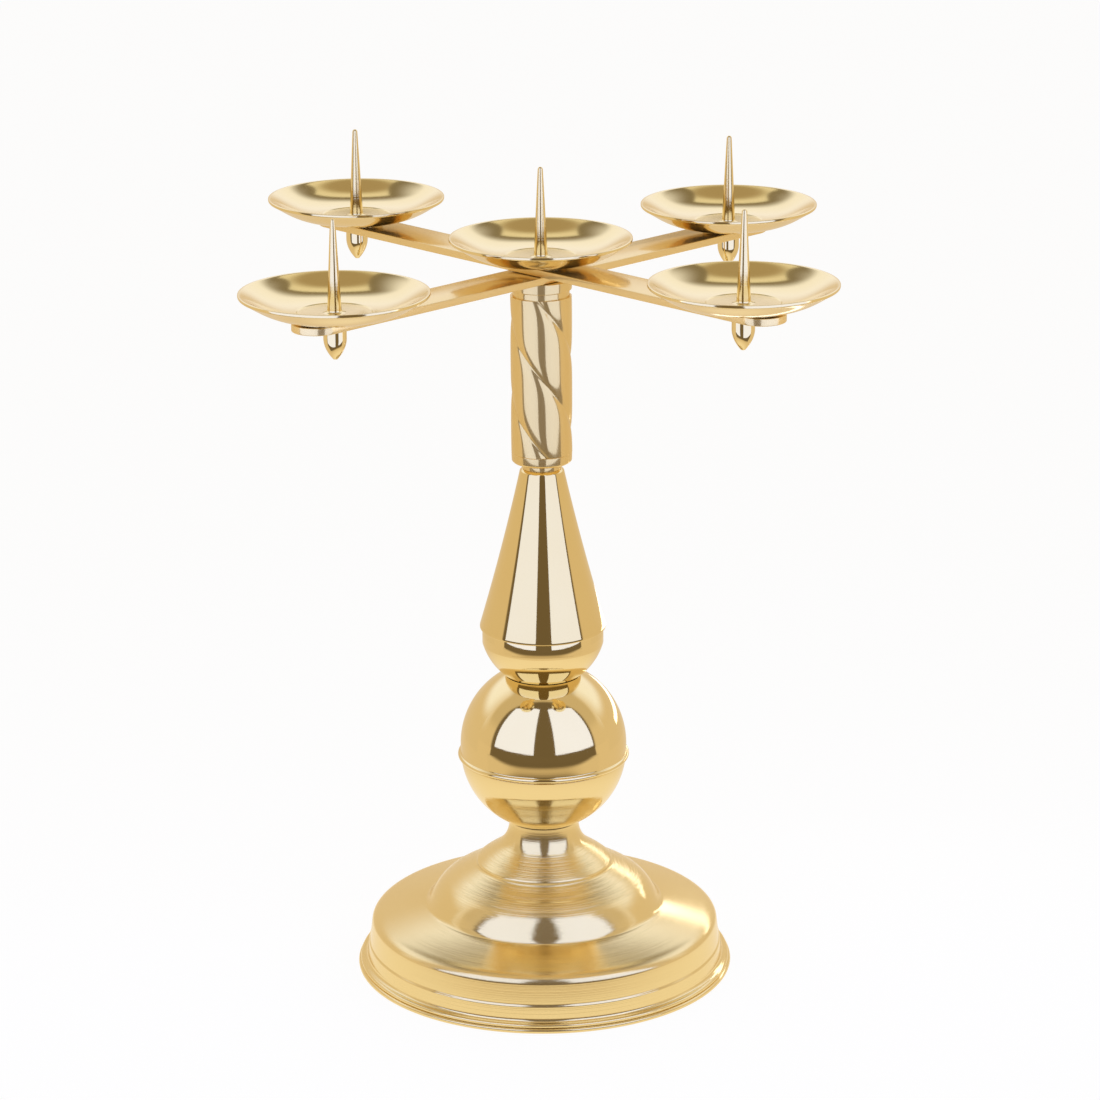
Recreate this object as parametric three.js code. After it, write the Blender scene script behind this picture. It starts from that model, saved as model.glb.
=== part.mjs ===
// Advent candle holder in brass. A spun foot, a ball, a cup and a tall cone carry a twisted pillar,
// and two crossed arms turn on top of it. Each arm end and the middle has a drip plate with a spike.
// Millimetres, +Z up, origin on the table under the pillar's axis.

import * as THREE from 'three';

// Sheet metal and clearances
const SHEET = 1.2;
const SEAT_GAP = 0.3;
const HOLE_GAP = 0.3;
const PIVOT_GAP = 0.2;
const EDGE_BREAK = 0.3;

// Foot: double ridge, cove, band, skirt, low dome, middle dome and neck
const BAND_RADIUS = 81;
const BAND_TAPER = 0.6;
const BAND_HEIGHT = 4.9;
const RIDGE_REACH = 4.2;
const RIDGE_HEIGHT = 2.5;
const GROOVE_REACH = 2.6;
const UPPER_RIDGE_REACH = 3.2;
const UPPER_RIDGE_HEIGHT = 1.9;
const COVE_HEIGHT = 1.9;
const SKIRT_STEP = 0.6;
const SKIRT_HEIGHT = 8.7;
const SKIRT_TAPER = 1;
const FOOT_RIM_WIDTH = 1.8;
const SHOULDER_ROUND_ACROSS = 6.5;
const SHOULDER_ROUND_DOWN = 3.3;
const LOW_DOME_RISE = 5.3;
const LOW_DOME_CROWN = 0.4;
const MIDDLE_DOME_RADIUS = 52.4;
const MIDDLE_DOME_RISE = 16.9;
const CREASE_WIDTH = 1.4;
const CREASE_DEPTH = 1.5;
const UPPER_CREASE_WIDTH = 1.2;
const UPPER_CREASE_DEPTH = 0.6;
const NECK_FOOT_RADIUS = 30;
const NECK_BEAD_REACH = 0.6;
const NECK_BEAD_HEIGHT = 2;
const NECK_RISE = 18.7;
const NECK_RADIUS = 15.6;

// Ball, cup and cone
const BALL_RADIUS = 37.4;
const BALL_HALVES_APART = 2.3;
const BALL_BEAD_RADIUS = 1.2;
const BALL_BEAD_DROP = 4.7;
const BALL_SPIGOT = 5;
const CUP_RADIUS = 27.1;
const CUP_BOWL_RADIUS = 28.1;
const CUP_BOWL_LIFT = 55.8;
const CUP_WALL_HEIGHT = 6.8;
const CONE_RADIUS = 28.15;
const CONE_TOP_RADIUS = 9.8;
const CONE_HEIGHT = 73.8;
const CONE_HOLLOW = 0.65;
const CONE_LIP = 1;
const CONE_FLANGE = 3.6;
const CONE_TOP_ROUND = 1;

// Collar, pillar and cap
const COLLAR_RADIUS = 8.7;
const COLLAR_HEIGHT = 3;
const PILLAR_FOOT_RADIUS = 13.4;
const PILLAR_FOOT_HEIGHT = 4.6;
const PILLAR_FOOT_CHAMFER = 0.8;
const PILLAR_FOOT_TAPER = 0.4;
const PILLAR_RADIUS = 13.5;
const PILLAR_HEIGHT = 70.7;
const STRANDS = 3;
const STRAND_LEAD = 99.6;
const VALLEY_DEPTH = 0.9;
const VALLEY_SPREAD = 11;
const FRONT_VALLEY_HEIGHT = 35.6;
const CAP_NECK_RADIUS = 12.5;
const CAP_NECK_HEIGHT = 2.9;
const CAP_RADIUS = 13.5;
const CAP_HEIGHT = 4.5;

// Arms
const ARM_ANGLE = 45;
const SPIKE_DISTANCE = 119.7;
const BAR_END = 20.5;
const BAR_WIDTH = 21;
const BAR_THICKNESS = 3.3;

// Drip plates, spikes and finial nuts
const PLATE_RADIUS = 40;
const PLATE_HEIGHT = 11.1;
const PLATE_LIP = 1.3;
const PLATE_LIP_WIDTH = 1;
const PLATE_FLAT_RADIUS = 19;
const PLATE_FLOOR_RADIUS = 15.5;
const PLATE_FLOOR_STEP = 0.3;
const PLATE_FOOT_RADIUS = 11.7;
const PLATE_FOOT_HEIGHT = 1.3;
const SEAT_CLEAR = 1.2;
const SPIKE_HEIGHT = 39.5;
const SPIKE_RADIUS = 3;
const SPIKE_FLARE_RADIUS = 4.9;
const SPIKE_FLARE_HEIGHT = 1.4;
const SPIKE_TIP_RADIUS = 1.1;
const TAIL_RADIUS = 3;
const TAIL_GRIP = 7;
const CENTRE_TAIL_GRIP = 15;
const BORE_END_ROOM = 1;
const FINIAL_RADIUS = 4.9;
const FINIAL_HEIGHT = 14.3;
const FINIAL_STRAIGHT = 5.4;
const FINIAL_TIP_RADIUS = 0.9;

// Parts inside the foot and the rod through the stem
const ROD_RADIUS = 4;
const ROD_GRIP = 20;
const ROD_END = 3;
const NUT_ACROSS_FLATS = 13;
const NUT_HEIGHT = 6.5;
const WASHER_RADIUS = 14;
const WASHER_THICKNESS = 2;
const DISC_INSET = 5.8;
const DISC_THICKNESS = 8;

// Number of sides round each kind of piece, and steps along its curves
const FOOT_SIDES = 36;
const BODY_SIDES = 28;
const PLATE_SIDES = 24;
const STEM_SIDES = 20;
const ROD_SIDES = 10;
const DOME_STEPS = 6;
const SHOULDER_STEPS = 3;
const BALL_STEPS = 8;
const CUP_STEPS = 4;
const CONE_STEPS = 3;
const PLATE_STEPS = 4;
const OGIVE_STEPS = 3;
const BAR_END_STEPS = 5;
const TWIST_STEPS = 12;

const brass = (color, roughness) => new THREE.MeshStandardMaterial({ color, roughness, metalness: 1 });
const FOOT_BRASS = 0xb8924a;
const BALL_BRASS = 0xc29b52;
const PILLAR_BRASS = 0xb48a45;
const BAR_BRASS = 0xa9854c;
const PLATE_BRASS = 0xc7a35e;
const SPIKE_BRASS = 0xd0ad6c;
const STEEL = 0x9a9a98;
const IRON = 0x3d3b39;
const POLISHED = 0.2;
const SATIN = 0.35;
const ROUGH = 0.6;

const point = (radius, height) => new THREE.Vector2(radius, height);

/** Points of a smooth stretch. Each lean gives a control point as shares of the way across and up. */
function curve(start, end, firstLean, secondLean, steps) {
  const control = ([across, up]) => point(
    THREE.MathUtils.lerp(start.x, end.x, across),
    THREE.MathUtils.lerp(start.y, end.y, up),
  );
  return new THREE.CubicBezierCurve(start, control(firstLean), control(secondLean), end).getPoints(steps);
}

/** Points of a round stretch about a centre, from one point's direction to another's. */
function arc(centre, radius, start, end, steps) {
  const from = Math.atan2(start.y - centre.y, start.x - centre.x);
  const to = Math.atan2(end.y - centre.y, end.x - centre.x);
  return Array.from({ length: steps + 1 }, (_, step) => {
    const angle = THREE.MathUtils.lerp(from, to, step / steps);
    return point(centre.x + radius * Math.cos(angle), centre.y + radius * Math.sin(angle));
  });
}

/** The far face of a sheet whose near face follows the points, on the left of their direction. */
function sheetBehind(points) {
  const behind = points.map((here, index) => {
    const before = points[Math.max(index - 1, 0)];
    const after = points[Math.min(index + 1, points.length - 1)];
    const along = after.clone().sub(before).normalize();
    return point(here.x - along.y * SHEET, here.y + along.x * SHEET);
  });
  return behind.filter((_, index) => index % 2 === 0 || index === behind.length - 1);
}

/** Radius and height where two spheres on the axis cross. */
function crossing(lowCentre, lowRadius, highCentre, highRadius) {
  const apart = highCentre - lowCentre;
  const rise = (apart ** 2 + lowRadius ** 2 - highRadius ** 2) / (2 * apart);
  return point(Math.sqrt(lowRadius ** 2 - rise ** 2), lowCentre + rise);
}

/** Height of an outline at a radius, between the two points that the radius lies between. */
function heightAt(outline, radius) {
  const index = outline.findIndex((here, i) => i > 0 && (here.x - radius) * (outline[i - 1].x - radius) <= 0);
  const before = outline[index - 1];
  const after = outline[index];
  return THREE.MathUtils.mapLinear(radius, before.x, after.x, before.y, after.y);
}

/** A turned piece: its closed outline of radius and height, revolved about the upright axis. */
function turned(name, outline, sides, material) {
  const closed = [...outline, outline[0].clone()];
  const geometry = new THREE.LatheGeometry(closed, sides).rotateX(Math.PI / 2);
  const mesh = new THREE.Mesh(geometry, material);
  mesh.name = name;
  return mesh;
}

/** A solid turned piece: its open outline starts and ends on the axis. */
function turnedSolid(name, outline, sides, material) {
  const geometry = new THREE.LatheGeometry(outline, sides).rotateX(Math.PI / 2);
  const mesh = new THREE.Mesh(geometry, material);
  mesh.name = name;
  return mesh;
}

// Heights of the foot's edges
const ridgeTop = RIDGE_HEIGHT + UPPER_RIDGE_HEIGHT;
const bandBottom = ridgeTop + COVE_HEIGHT;
const bandTop = bandBottom + BAND_HEIGHT;
const skirtTop = bandTop + SKIRT_STEP + SKIRT_HEIGHT;
const shoulderCorner = skirtTop + SHOULDER_ROUND_DOWN;
const creaseFoot = shoulderCorner + LOW_DOME_RISE;
const middleDomeFoot = creaseFoot + CREASE_DEPTH;
const middleDomeTop = middleDomeFoot + MIDDLE_DOME_RISE;
const creaseTop = middleDomeTop + UPPER_CREASE_DEPTH;
const neckFoot = creaseTop + NECK_BEAD_HEIGHT;
const neckTop = neckFoot + NECK_RISE;

// Heights of the ball, cup and cone
const ballLowerCentre = neckTop + Math.sqrt(BALL_RADIUS ** 2 - NECK_RADIUS ** 2) + SEAT_GAP;
const ballUpperCentre = ballLowerCentre + BALL_HALVES_APART;
const ballJoint = ballUpperCentre - BALL_BEAD_DROP - BALL_BEAD_RADIUS;
const cupCentre = ballUpperCentre + CUP_BOWL_LIFT;
const cupWallFoot = cupCentre - Math.sqrt(CUP_BOWL_RADIUS ** 2 - CUP_RADIUS ** 2);
const cupTop = cupWallFoot + CUP_WALL_HEIGHT;
const coneBottom = cupTop + SEAT_GAP;
const coneTop = coneBottom + CONE_HEIGHT;

// Heights of the pillar and the arms
const pillarFootBottom = coneTop + COLLAR_HEIGHT;
const pillarBottom = pillarFootBottom + PILLAR_FOOT_HEIGHT;
const pillarTop = pillarBottom + PILLAR_HEIGHT;
const capTop = pillarTop + CAP_NECK_HEIGHT + CAP_HEIGHT;
const lowerBarBottom = capTop + PIVOT_GAP;
const upperBarBottom = lowerBarBottom + BAR_THICKNESS + PIVOT_GAP;
const centrePlateBottom = upperBarBottom + BAR_THICKNESS + PIVOT_GAP;

// Holes
const rodHole = ROD_RADIUS + HOLE_GAP;
const tailHole = TAIL_RADIUS + HOLE_GAP;
const plateFloor = PLATE_FOOT_HEIGHT + SHEET;

/** Outer face of the foot, from the table up to the neck's rim, in three stretches of sheet. */
function footStretches() {
  const skirtFoot = BAND_RADIUS - BAND_TAPER - SKIRT_STEP;
  const skirtHead = point(skirtFoot - SKIRT_TAPER, skirtTop);
  const skirtSlope = SKIRT_TAPER / SKIRT_HEIGHT;
  const corner = point(skirtHead.x - skirtSlope * SHOULDER_ROUND_DOWN, shoulderCorner);
  const roundStart = point(corner.x - SHOULDER_ROUND_ACROSS, 0);
  roundStart.y = THREE.MathUtils.mapLinear(
    roundStart.x, corner.x, MIDDLE_DOME_RADIUS + CREASE_WIDTH, corner.y, creaseFoot);
  const shoulder = new THREE.QuadraticBezierCurve(skirtHead, corner, roundStart).getPoints(SHOULDER_STEPS);
  const domeEnd = point(MIDDLE_DOME_RADIUS + CREASE_WIDTH, creaseFoot);
  const domeMiddle = roundStart.clone().lerp(domeEnd, 0.5).add(point(0, LOW_DOME_CROWN));
  const lowDome = new THREE.QuadraticBezierCurve(roundStart, domeMiddle, domeEnd).getPoints(2);
  const middleDome = curve(
    point(MIDDLE_DOME_RADIUS, middleDomeFoot), point(NECK_FOOT_RADIUS + UPPER_CREASE_WIDTH, middleDomeTop),
    [0.12, 0.62], [0.45, 0.62], DOME_STEPS);
  const neck = curve(
    point(NECK_FOOT_RADIUS, neckFoot), point(NECK_RADIUS, neckTop),
    [0.45, 0.3], [0.97, 0.36], DOME_STEPS);
  return { skirt: [...shoulder, ...lowDome.slice(1)], middleDome, neck };
}

const foot = footStretches();
const lowDomeInside = sheetBehind(foot.skirt);

/** Spun sheet foot, open underneath and at the neck. */
function baseShell() {
  const ridges = [
    point(BAND_RADIUS + RIDGE_REACH / 2, 0),
    point(BAND_RADIUS + RIDGE_REACH, RIDGE_HEIGHT / 2),
    point(BAND_RADIUS + GROOVE_REACH, RIDGE_HEIGHT),
    point(BAND_RADIUS + UPPER_RIDGE_REACH, RIDGE_HEIGHT + UPPER_RIDGE_HEIGHT / 2),
    point(BAND_RADIUS + UPPER_RIDGE_REACH / 2, ridgeTop),
  ];
  const band = [
    point(BAND_RADIUS, bandBottom),
    point(BAND_RADIUS - BAND_TAPER, bandTop),
    point(BAND_RADIUS - BAND_TAPER - SKIRT_STEP, bandTop + SKIRT_STEP),
  ];
  const neckBead = point(NECK_FOOT_RADIUS + NECK_BEAD_REACH, creaseTop + NECK_BEAD_HEIGHT / 2);
  const crease = point(NECK_FOOT_RADIUS + NECK_BEAD_REACH / 2, creaseTop);
  const outside = [...ridges, ...band, ...foot.skirt, ...foot.middleDome, crease, neckBead, ...foot.neck];
  const skirtFoot = band[2];
  const wallInside = [
    point(skirtFoot.x - SHEET, skirtFoot.y),
    point(BAND_RADIUS - SHEET, bandBottom),
    point(BAND_RADIUS + RIDGE_REACH / 2 - FOOT_RIM_WIDTH, 0),
  ];
  const inside = [
    ...sheetBehind(foot.neck).reverse(),
    point(crease.x - SHEET, crease.y - SHEET / 2),
    ...sheetBehind(foot.middleDome).reverse(),
    ...lowDomeInside.toReversed(),
    ...wallInside,
  ];
  return turned('base_shell', [...outside, ...inside], FOOT_SIDES, brass(FOOT_BRASS, POLISHED));
}

/** Iron disc under the foot's dome, with its washer, nut and the rod through the whole stem. */
function innerParts() {
  const discRadius = foot.skirt[0].x - DISC_INSET;
  const discTop = heightAt(lowDomeInside, discRadius) - SEAT_GAP;
  const discBottom = discTop - DISC_THICKNESS;
  const washerBottom = discBottom - WASHER_THICKNESS;
  const nutBottom = washerBottom - NUT_HEIGHT;
  const iron = new THREE.MeshStandardMaterial({ color: IRON, roughness: ROUGH, metalness: 1 });
  const steel = new THREE.MeshStandardMaterial({ color: STEEL, roughness: SATIN, metalness: 1 });
  const disc = turned('ballast_disc', ring(rodHole, discRadius, discBottom, discTop), FOOT_SIDES, iron);
  const washer = turned('base_washer', ring(rodHole, WASHER_RADIUS, washerBottom, discBottom), STEM_SIDES, steel);
  const rod = turnedSolid('tie_rod', [
    point(0, nutBottom - ROD_END),
    point(ROD_RADIUS - EDGE_BREAK, nutBottom - ROD_END),
    point(ROD_RADIUS, nutBottom - ROD_END + EDGE_BREAK),
    point(ROD_RADIUS, pillarBottom + ROD_GRIP - EDGE_BREAK),
    point(ROD_RADIUS - EDGE_BREAK, pillarBottom + ROD_GRIP),
    point(0, pillarBottom + ROD_GRIP),
  ], ROD_SIDES, steel);
  return [disc, washer, hexNut(nutBottom, steel), rod];
}

/** Outline of a plain ring between two radii and two heights. */
function ring(inner, outer, bottom, top) {
  return [point(inner, bottom), point(outer, bottom), point(outer, top), point(inner, top)];
}

/** Six-sided nut on the rod. */
function hexNut(bottom, material) {
  const corner = NUT_ACROSS_FLATS / 2 / Math.cos(Math.PI / 6);
  const hexagon = new THREE.Shape(Array.from({ length: 6 }, (_, index) => {
    const angle = index * Math.PI / 3;
    return point(corner * Math.cos(angle), corner * Math.sin(angle));
  }));
  hexagon.holes.push(new THREE.Path().absarc(0, 0, rodHole, 0, 2 * Math.PI, true));
  const geometry = new THREE.ExtrudeGeometry(hexagon, {
    depth: NUT_HEIGHT, bevelEnabled: false, curveSegments: ROD_SIDES / 2,
  });
  const mesh = new THREE.Mesh(geometry, material);
  mesh.name = 'base_nut';
  mesh.position.z = bottom;
  return mesh;
}

/** Lower half of the ball, with a spigot that slips into the upper half. */
function ballLowerShell() {
  const centre = point(0, ballLowerCentre);
  const inner = BALL_RADIUS - SHEET;
  const shoulder = ballJoint - SEAT_GAP;
  const spigot = inner - HOLE_GAP;
  const shoulderRadius = Math.sqrt(BALL_RADIUS ** 2 - (shoulder - centre.y) ** 2);
  const liningFoot = centre.y - Math.sqrt(inner ** 2 - (spigot - SHEET) ** 2);
  const holeIn = (radius) => point(rodHole, centre.y - Math.sqrt(radius ** 2 - rodHole ** 2));
  const outside = arc(centre, BALL_RADIUS, holeIn(BALL_RADIUS), point(shoulderRadius, shoulder), BALL_STEPS);
  const inside = arc(centre, inner, point(spigot - SHEET, liningFoot), holeIn(inner), BALL_STEPS / 2);
  return turned('ball_lower_shell', [
    ...outside,
    point(spigot, shoulder),
    point(spigot, ballJoint + BALL_SPIGOT),
    point(spigot - SHEET, ballJoint + BALL_SPIGOT),
    ...inside,
  ], BODY_SIDES, brass(BALL_BRASS, POLISHED));
}

/** Upper half of the ball, with a rounded bead that laps over the lower half. */
function ballUpperShell() {
  const centre = point(0, ballUpperCentre);
  const inner = BALL_RADIUS - SHEET;
  const bead = point(BALL_RADIUS, centre.y - BALL_BEAD_DROP);
  const holeIn = (radius) => point(rodHole, centre.y + Math.sqrt(radius ** 2 - rodHole ** 2));
  return turned('ball_upper_shell', [
    point(inner, ballJoint),
    ...arc(bead, BALL_BEAD_RADIUS, point(bead.x, ballJoint), point(bead.x, bead.y + 1), 4),
    ...arc(centre, BALL_RADIUS, point(BALL_RADIUS, centre.y), holeIn(BALL_RADIUS), BALL_STEPS),
    ...arc(centre, inner, holeIn(inner), point(inner, centre.y), BALL_STEPS / 2),
  ], BODY_SIDES, brass(BALL_BRASS, POLISHED));
}

/** Round-bottomed cup whose floor is dished to sit on the ball. */
function cup() {
  const ball = point(0, ballUpperCentre);
  const bowl = point(0, cupCentre);
  const seat = BALL_RADIUS + SEAT_GAP;
  const inner = CUP_BOWL_RADIUS - SHEET;
  const wallInside = CUP_RADIUS - SHEET;
  const footEdge = crossing(ball.y, seat, bowl.y, CUP_BOWL_RADIUS);
  const floorEdge = crossing(ball.y, seat + SHEET, bowl.y, inner);
  const holeIn = (radius) => point(rodHole, ball.y + Math.sqrt(radius ** 2 - rodHole ** 2));
  const innerWallFoot = bowl.y - Math.sqrt(inner ** 2 - wallInside ** 2);
  return turned('cup', [
    ...arc(ball, seat, holeIn(seat), footEdge, 2),
    ...arc(bowl, CUP_BOWL_RADIUS, footEdge, point(CUP_RADIUS, cupWallFoot), CUP_STEPS).slice(1),
    point(CUP_RADIUS, cupTop),
    point(wallInside, cupTop),
    ...arc(bowl, inner, point(wallInside, innerWallFoot), floorEdge, CUP_STEPS / 2),
    ...arc(ball, seat + SHEET, floorEdge, holeIn(seat + SHEET), 2).slice(1),
  ], BODY_SIDES, brass(BALL_BRASS, POLISHED));
}

/** Tall slightly hollow-sided cone, with a flange turned in to rest on the cup's rim. */
function cone() {
  const side = (inset, steps) => {
    const low = point(CONE_RADIUS - inset, coneBottom + Math.max(CONE_LIP, inset));
    const high = point(CONE_TOP_RADIUS - inset, coneTop - Math.max(CONE_TOP_ROUND, inset));
    const middle = low.clone().lerp(high, 0.5).sub(point(2 * CONE_HOLLOW, 0));
    return new THREE.QuadraticBezierCurve(low, middle, high).getPoints(steps);
  };
  return turned('cone', [
    point(CONE_RADIUS - CONE_FLANGE, coneBottom),
    point(CONE_RADIUS, coneBottom),
    ...side(0, CONE_STEPS),
    point(CONE_TOP_RADIUS - CONE_TOP_ROUND, coneTop),
    point(rodHole, coneTop),
    point(rodHole, coneTop - SHEET),
    ...side(SHEET, CONE_STEPS - 1).reverse(),
    point(CONE_RADIUS - CONE_FLANGE, coneBottom + SHEET),
  ], BODY_SIDES, brass(BALL_BRASS, POLISHED));
}

/** Plain spacer between the cone and the pillar's foot. */
function collar() {
  const outline = ring(rodHole, COLLAR_RADIUS, coneTop, pillarFootBottom);
  return turned('collar', outline, STEM_SIDES, brass(PILLAR_BRASS, SATIN));
}

/** Turned disc under the pillar, chamfered below. */
function pillarFoot() {
  const chamferRadius = PILLAR_FOOT_RADIUS - PILLAR_FOOT_TAPER;
  return turned('pillar_foot', [
    point(rodHole, pillarFootBottom),
    point(chamferRadius - PILLAR_FOOT_CHAMFER, pillarFootBottom),
    point(chamferRadius, pillarFootBottom + PILLAR_FOOT_CHAMFER),
    point(PILLAR_FOOT_RADIUS, pillarBottom - EDGE_BREAK),
    point(PILLAR_FOOT_RADIUS - EDGE_BREAK, pillarBottom),
    point(rodHole, pillarBottom),
  ], STEM_SIDES, brass(PILLAR_BRASS, SATIN));
}

/** Radius of the twisted pillar at an angle from the nearest valley, in degrees. */
const strandRadius = (fromValley) => PILLAR_RADIUS - VALLEY_DEPTH * Math.exp(-fromValley / VALLEY_SPREAD);

/** One level of the pillar's outside: strands that meet in valleys, with points gathered at each valley. */
function strandRing(height) {
  const strandSpan = 360 / STRANDS;
  const nearValley = [0, 5, 12, 24];
  const beyondMiddle = nearValley.slice(1).reverse().map((angle) => strandSpan - angle);
  const shares = [...nearValley, strandSpan / 2, ...beyondMiddle];
  const turn = -90 + (FRONT_VALLEY_HEIGHT + pillarBottom - height) * 360 / STRAND_LEAD;
  const points = [];
  for (let strand = 0; strand < STRANDS; strand += 1) {
    for (const share of shares) {
      const angle = THREE.MathUtils.degToRad(turn + strand * strandSpan + share);
      const radius = strandRadius(Math.min(share, strandSpan - share));
      points.push(new THREE.Vector3(radius * Math.cos(angle), radius * Math.sin(angle), height));
    }
  }
  return points;
}

/** A round ring of evenly spaced points that starts beside the outside ring's first point. */
function boreRing(outside, radius, height) {
  const start = Math.atan2(outside[0].y, outside[0].x);
  return outside.map((_, index) => {
    const angle = start + index * 2 * Math.PI / outside.length;
    return new THREE.Vector3(radius * Math.cos(angle), radius * Math.sin(angle), height);
  });
}

/** Closed skin over rings of equally many points, from a point under the first to one over the last. */
function skinned(firstPole, rings, lastPole) {
  const count = rings[0].length;
  const faces = [];
  for (let index = 0; index < count; index += 1) {
    const next = (index + 1) % count;
    faces.push(firstPole, rings[0][next], rings[0][index]);
    for (let level = 0; level < rings.length - 1; level += 1) {
      const low = rings[level];
      const high = rings[level + 1];
      faces.push(low[index], low[next], high[next], low[index], high[next], high[index]);
    }
    faces.push(lastPole, rings.at(-1)[index], rings.at(-1)[next]);
  }
  return new THREE.BufferGeometry().setFromPoints(faces);
}

/** Solid pillar of three twisted strands, bored at the foot for the rod and on top for the spike's tail. */
function pillar() {
  const levels = Array.from({ length: TWIST_STEPS + 1 }, (_, step) => (
    strandRing(pillarBottom + PILLAR_HEIGHT * step / TWIST_STEPS)
  ));
  const rodBoreEnd = pillarBottom + ROD_GRIP + BORE_END_ROOM;
  const tailBoreEnd = pillarTop - CENTRE_TAIL_GRIP - BORE_END_ROOM;
  const geometry = skinned(
    new THREE.Vector3(0, 0, rodBoreEnd),
    [
      boreRing(levels[0], rodHole, rodBoreEnd),
      boreRing(levels[0], rodHole, pillarBottom),
      ...levels,
      boreRing(levels.at(-1), tailHole, pillarTop),
      boreRing(levels.at(-1), tailHole, tailBoreEnd),
    ],
    new THREE.Vector3(0, 0, tailBoreEnd),
  );
  const mesh = new THREE.Mesh(geometry, brass(PILLAR_BRASS, SATIN));
  mesh.name = 'pillar';
  return mesh;
}

/** Cap with a narrow reveal over the pillar and a flat top that carries the arms. */
function pillarCap() {
  const discBottom = pillarTop + CAP_NECK_HEIGHT;
  return turned('pillar_cap', [
    point(tailHole, pillarTop),
    point(CAP_NECK_RADIUS, pillarTop),
    point(CAP_NECK_RADIUS, discBottom),
    point(CAP_RADIUS - EDGE_BREAK, discBottom),
    point(CAP_RADIUS, discBottom + EDGE_BREAK),
    point(CAP_RADIUS, capTop - EDGE_BREAK),
    point(CAP_RADIUS - EDGE_BREAK, capTop),
    point(tailHole, capTop),
  ], STEM_SIDES, brass(PILLAR_BRASS, SATIN));
}

/** Flat arm with round ends, broken edges and three holes, lying along X. */
function bar(name) {
  const endRadius = BAR_WIDTH / 2;
  const endCentre = SPIKE_DISTANCE + BAR_END - endRadius;
  const shape = new THREE.Shape();
  shape.absarc(endCentre, 0, endRadius, -Math.PI / 2, Math.PI / 2, false);
  shape.absarc(-endCentre, 0, endRadius, Math.PI / 2, 3 * Math.PI / 2, false);
  for (const along of [-SPIKE_DISTANCE, 0, SPIKE_DISTANCE]) {
    shape.holes.push(new THREE.Path().absarc(along, 0, tailHole, 0, 2 * Math.PI, true));
  }
  const geometry = new THREE.ExtrudeGeometry(shape, {
    depth: BAR_THICKNESS - 2 * EDGE_BREAK,
    bevelThickness: EDGE_BREAK,
    bevelSize: EDGE_BREAK,
    bevelOffset: -EDGE_BREAK,
    bevelSegments: 1,
    curveSegments: BAR_END_STEPS,
  });
  geometry.translate(0, 0, EDGE_BREAK);
  const mesh = new THREE.Mesh(geometry, brass(BAR_BRASS, SATIN));
  mesh.name = name;
  return mesh;
}

/**
 * Shallow dished drip plate on a raised foot, with a stepped flat floor. Height 0 is under its foot.
 * The floor's faces for the candle begin just outside the spike's flare.
 */
function dripPlate(name) {
  const lean = { first: [0.528, 0.11], second: [0.759, 0.705] };
  const underside = curve(
    point(PLATE_FLAT_RADIUS, PLATE_FOOT_HEIGHT), point(PLATE_RADIUS, PLATE_HEIGHT - PLATE_LIP),
    lean.first, lean.second, PLATE_STEPS);
  const inside = curve(
    point(PLATE_FLOOR_RADIUS + PLATE_FLOOR_STEP, plateFloor + PLATE_FLOOR_STEP),
    point(PLATE_RADIUS - PLATE_LIP_WIDTH, PLATE_HEIGHT),
    lean.first, lean.second, PLATE_STEPS);
  return turned(name, [
    point(tailHole, 0),
    point(PLATE_FOOT_RADIUS, 0),
    point(PLATE_FOOT_RADIUS, PLATE_FOOT_HEIGHT),
    ...underside,
    point(PLATE_RADIUS, PLATE_HEIGHT),
    ...inside.reverse(),
    point(PLATE_FLOOR_RADIUS, plateFloor),
    point(SPIKE_FLARE_RADIUS + SEAT_CLEAR, plateFloor),
    point(tailHole, plateFloor),
  ], PLATE_SIDES, brass(PLATE_BRASS, SATIN));
}

/** Tapered spike with a flared foot and a tail of the given length. Height 0 is under its foot. */
function spike(name, tailLength) {
  return turnedSolid(name, [
    point(0, -tailLength),
    point(TAIL_RADIUS - EDGE_BREAK, -tailLength),
    point(TAIL_RADIUS, EDGE_BREAK - tailLength),
    point(TAIL_RADIUS, 0),
    point(SPIKE_FLARE_RADIUS, 0),
    point(THREE.MathUtils.lerp(SPIKE_RADIUS, SPIKE_FLARE_RADIUS, 0.3), SPIKE_FLARE_HEIGHT / 2),
    point(SPIKE_RADIUS, SPIKE_FLARE_HEIGHT),
    point(SPIKE_TIP_RADIUS, SPIKE_HEIGHT - SPIKE_TIP_RADIUS / 2),
    point(SPIKE_TIP_RADIUS / 2, SPIKE_HEIGHT),
    point(0, SPIKE_HEIGHT),
  ], ROD_SIDES, brass(SPIKE_BRASS, POLISHED));
}

/** Pointed nut with a blind bore, hanging down from height 0. */
function finialNut(name) {
  const boreEnd = -TAIL_GRIP - BORE_END_ROOM;
  const ogive = curve(
    point(FINIAL_TIP_RADIUS, EDGE_BREAK - FINIAL_HEIGHT), point(FINIAL_RADIUS, -FINIAL_STRAIGHT),
    [0.5, 0.25], [0.85, 0.6], OGIVE_STEPS);
  return turnedSolid(name, [
    point(0, -FINIAL_HEIGHT),
    ...ogive,
    point(FINIAL_RADIUS, -EDGE_BREAK),
    point(FINIAL_RADIUS - EDGE_BREAK, 0),
    point(tailHole, 0),
    point(tailHole, boreEnd),
    point(0, boreEnd),
  ], ROD_SIDES, brass(PILLAR_BRASS, SATIN));
}

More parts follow.
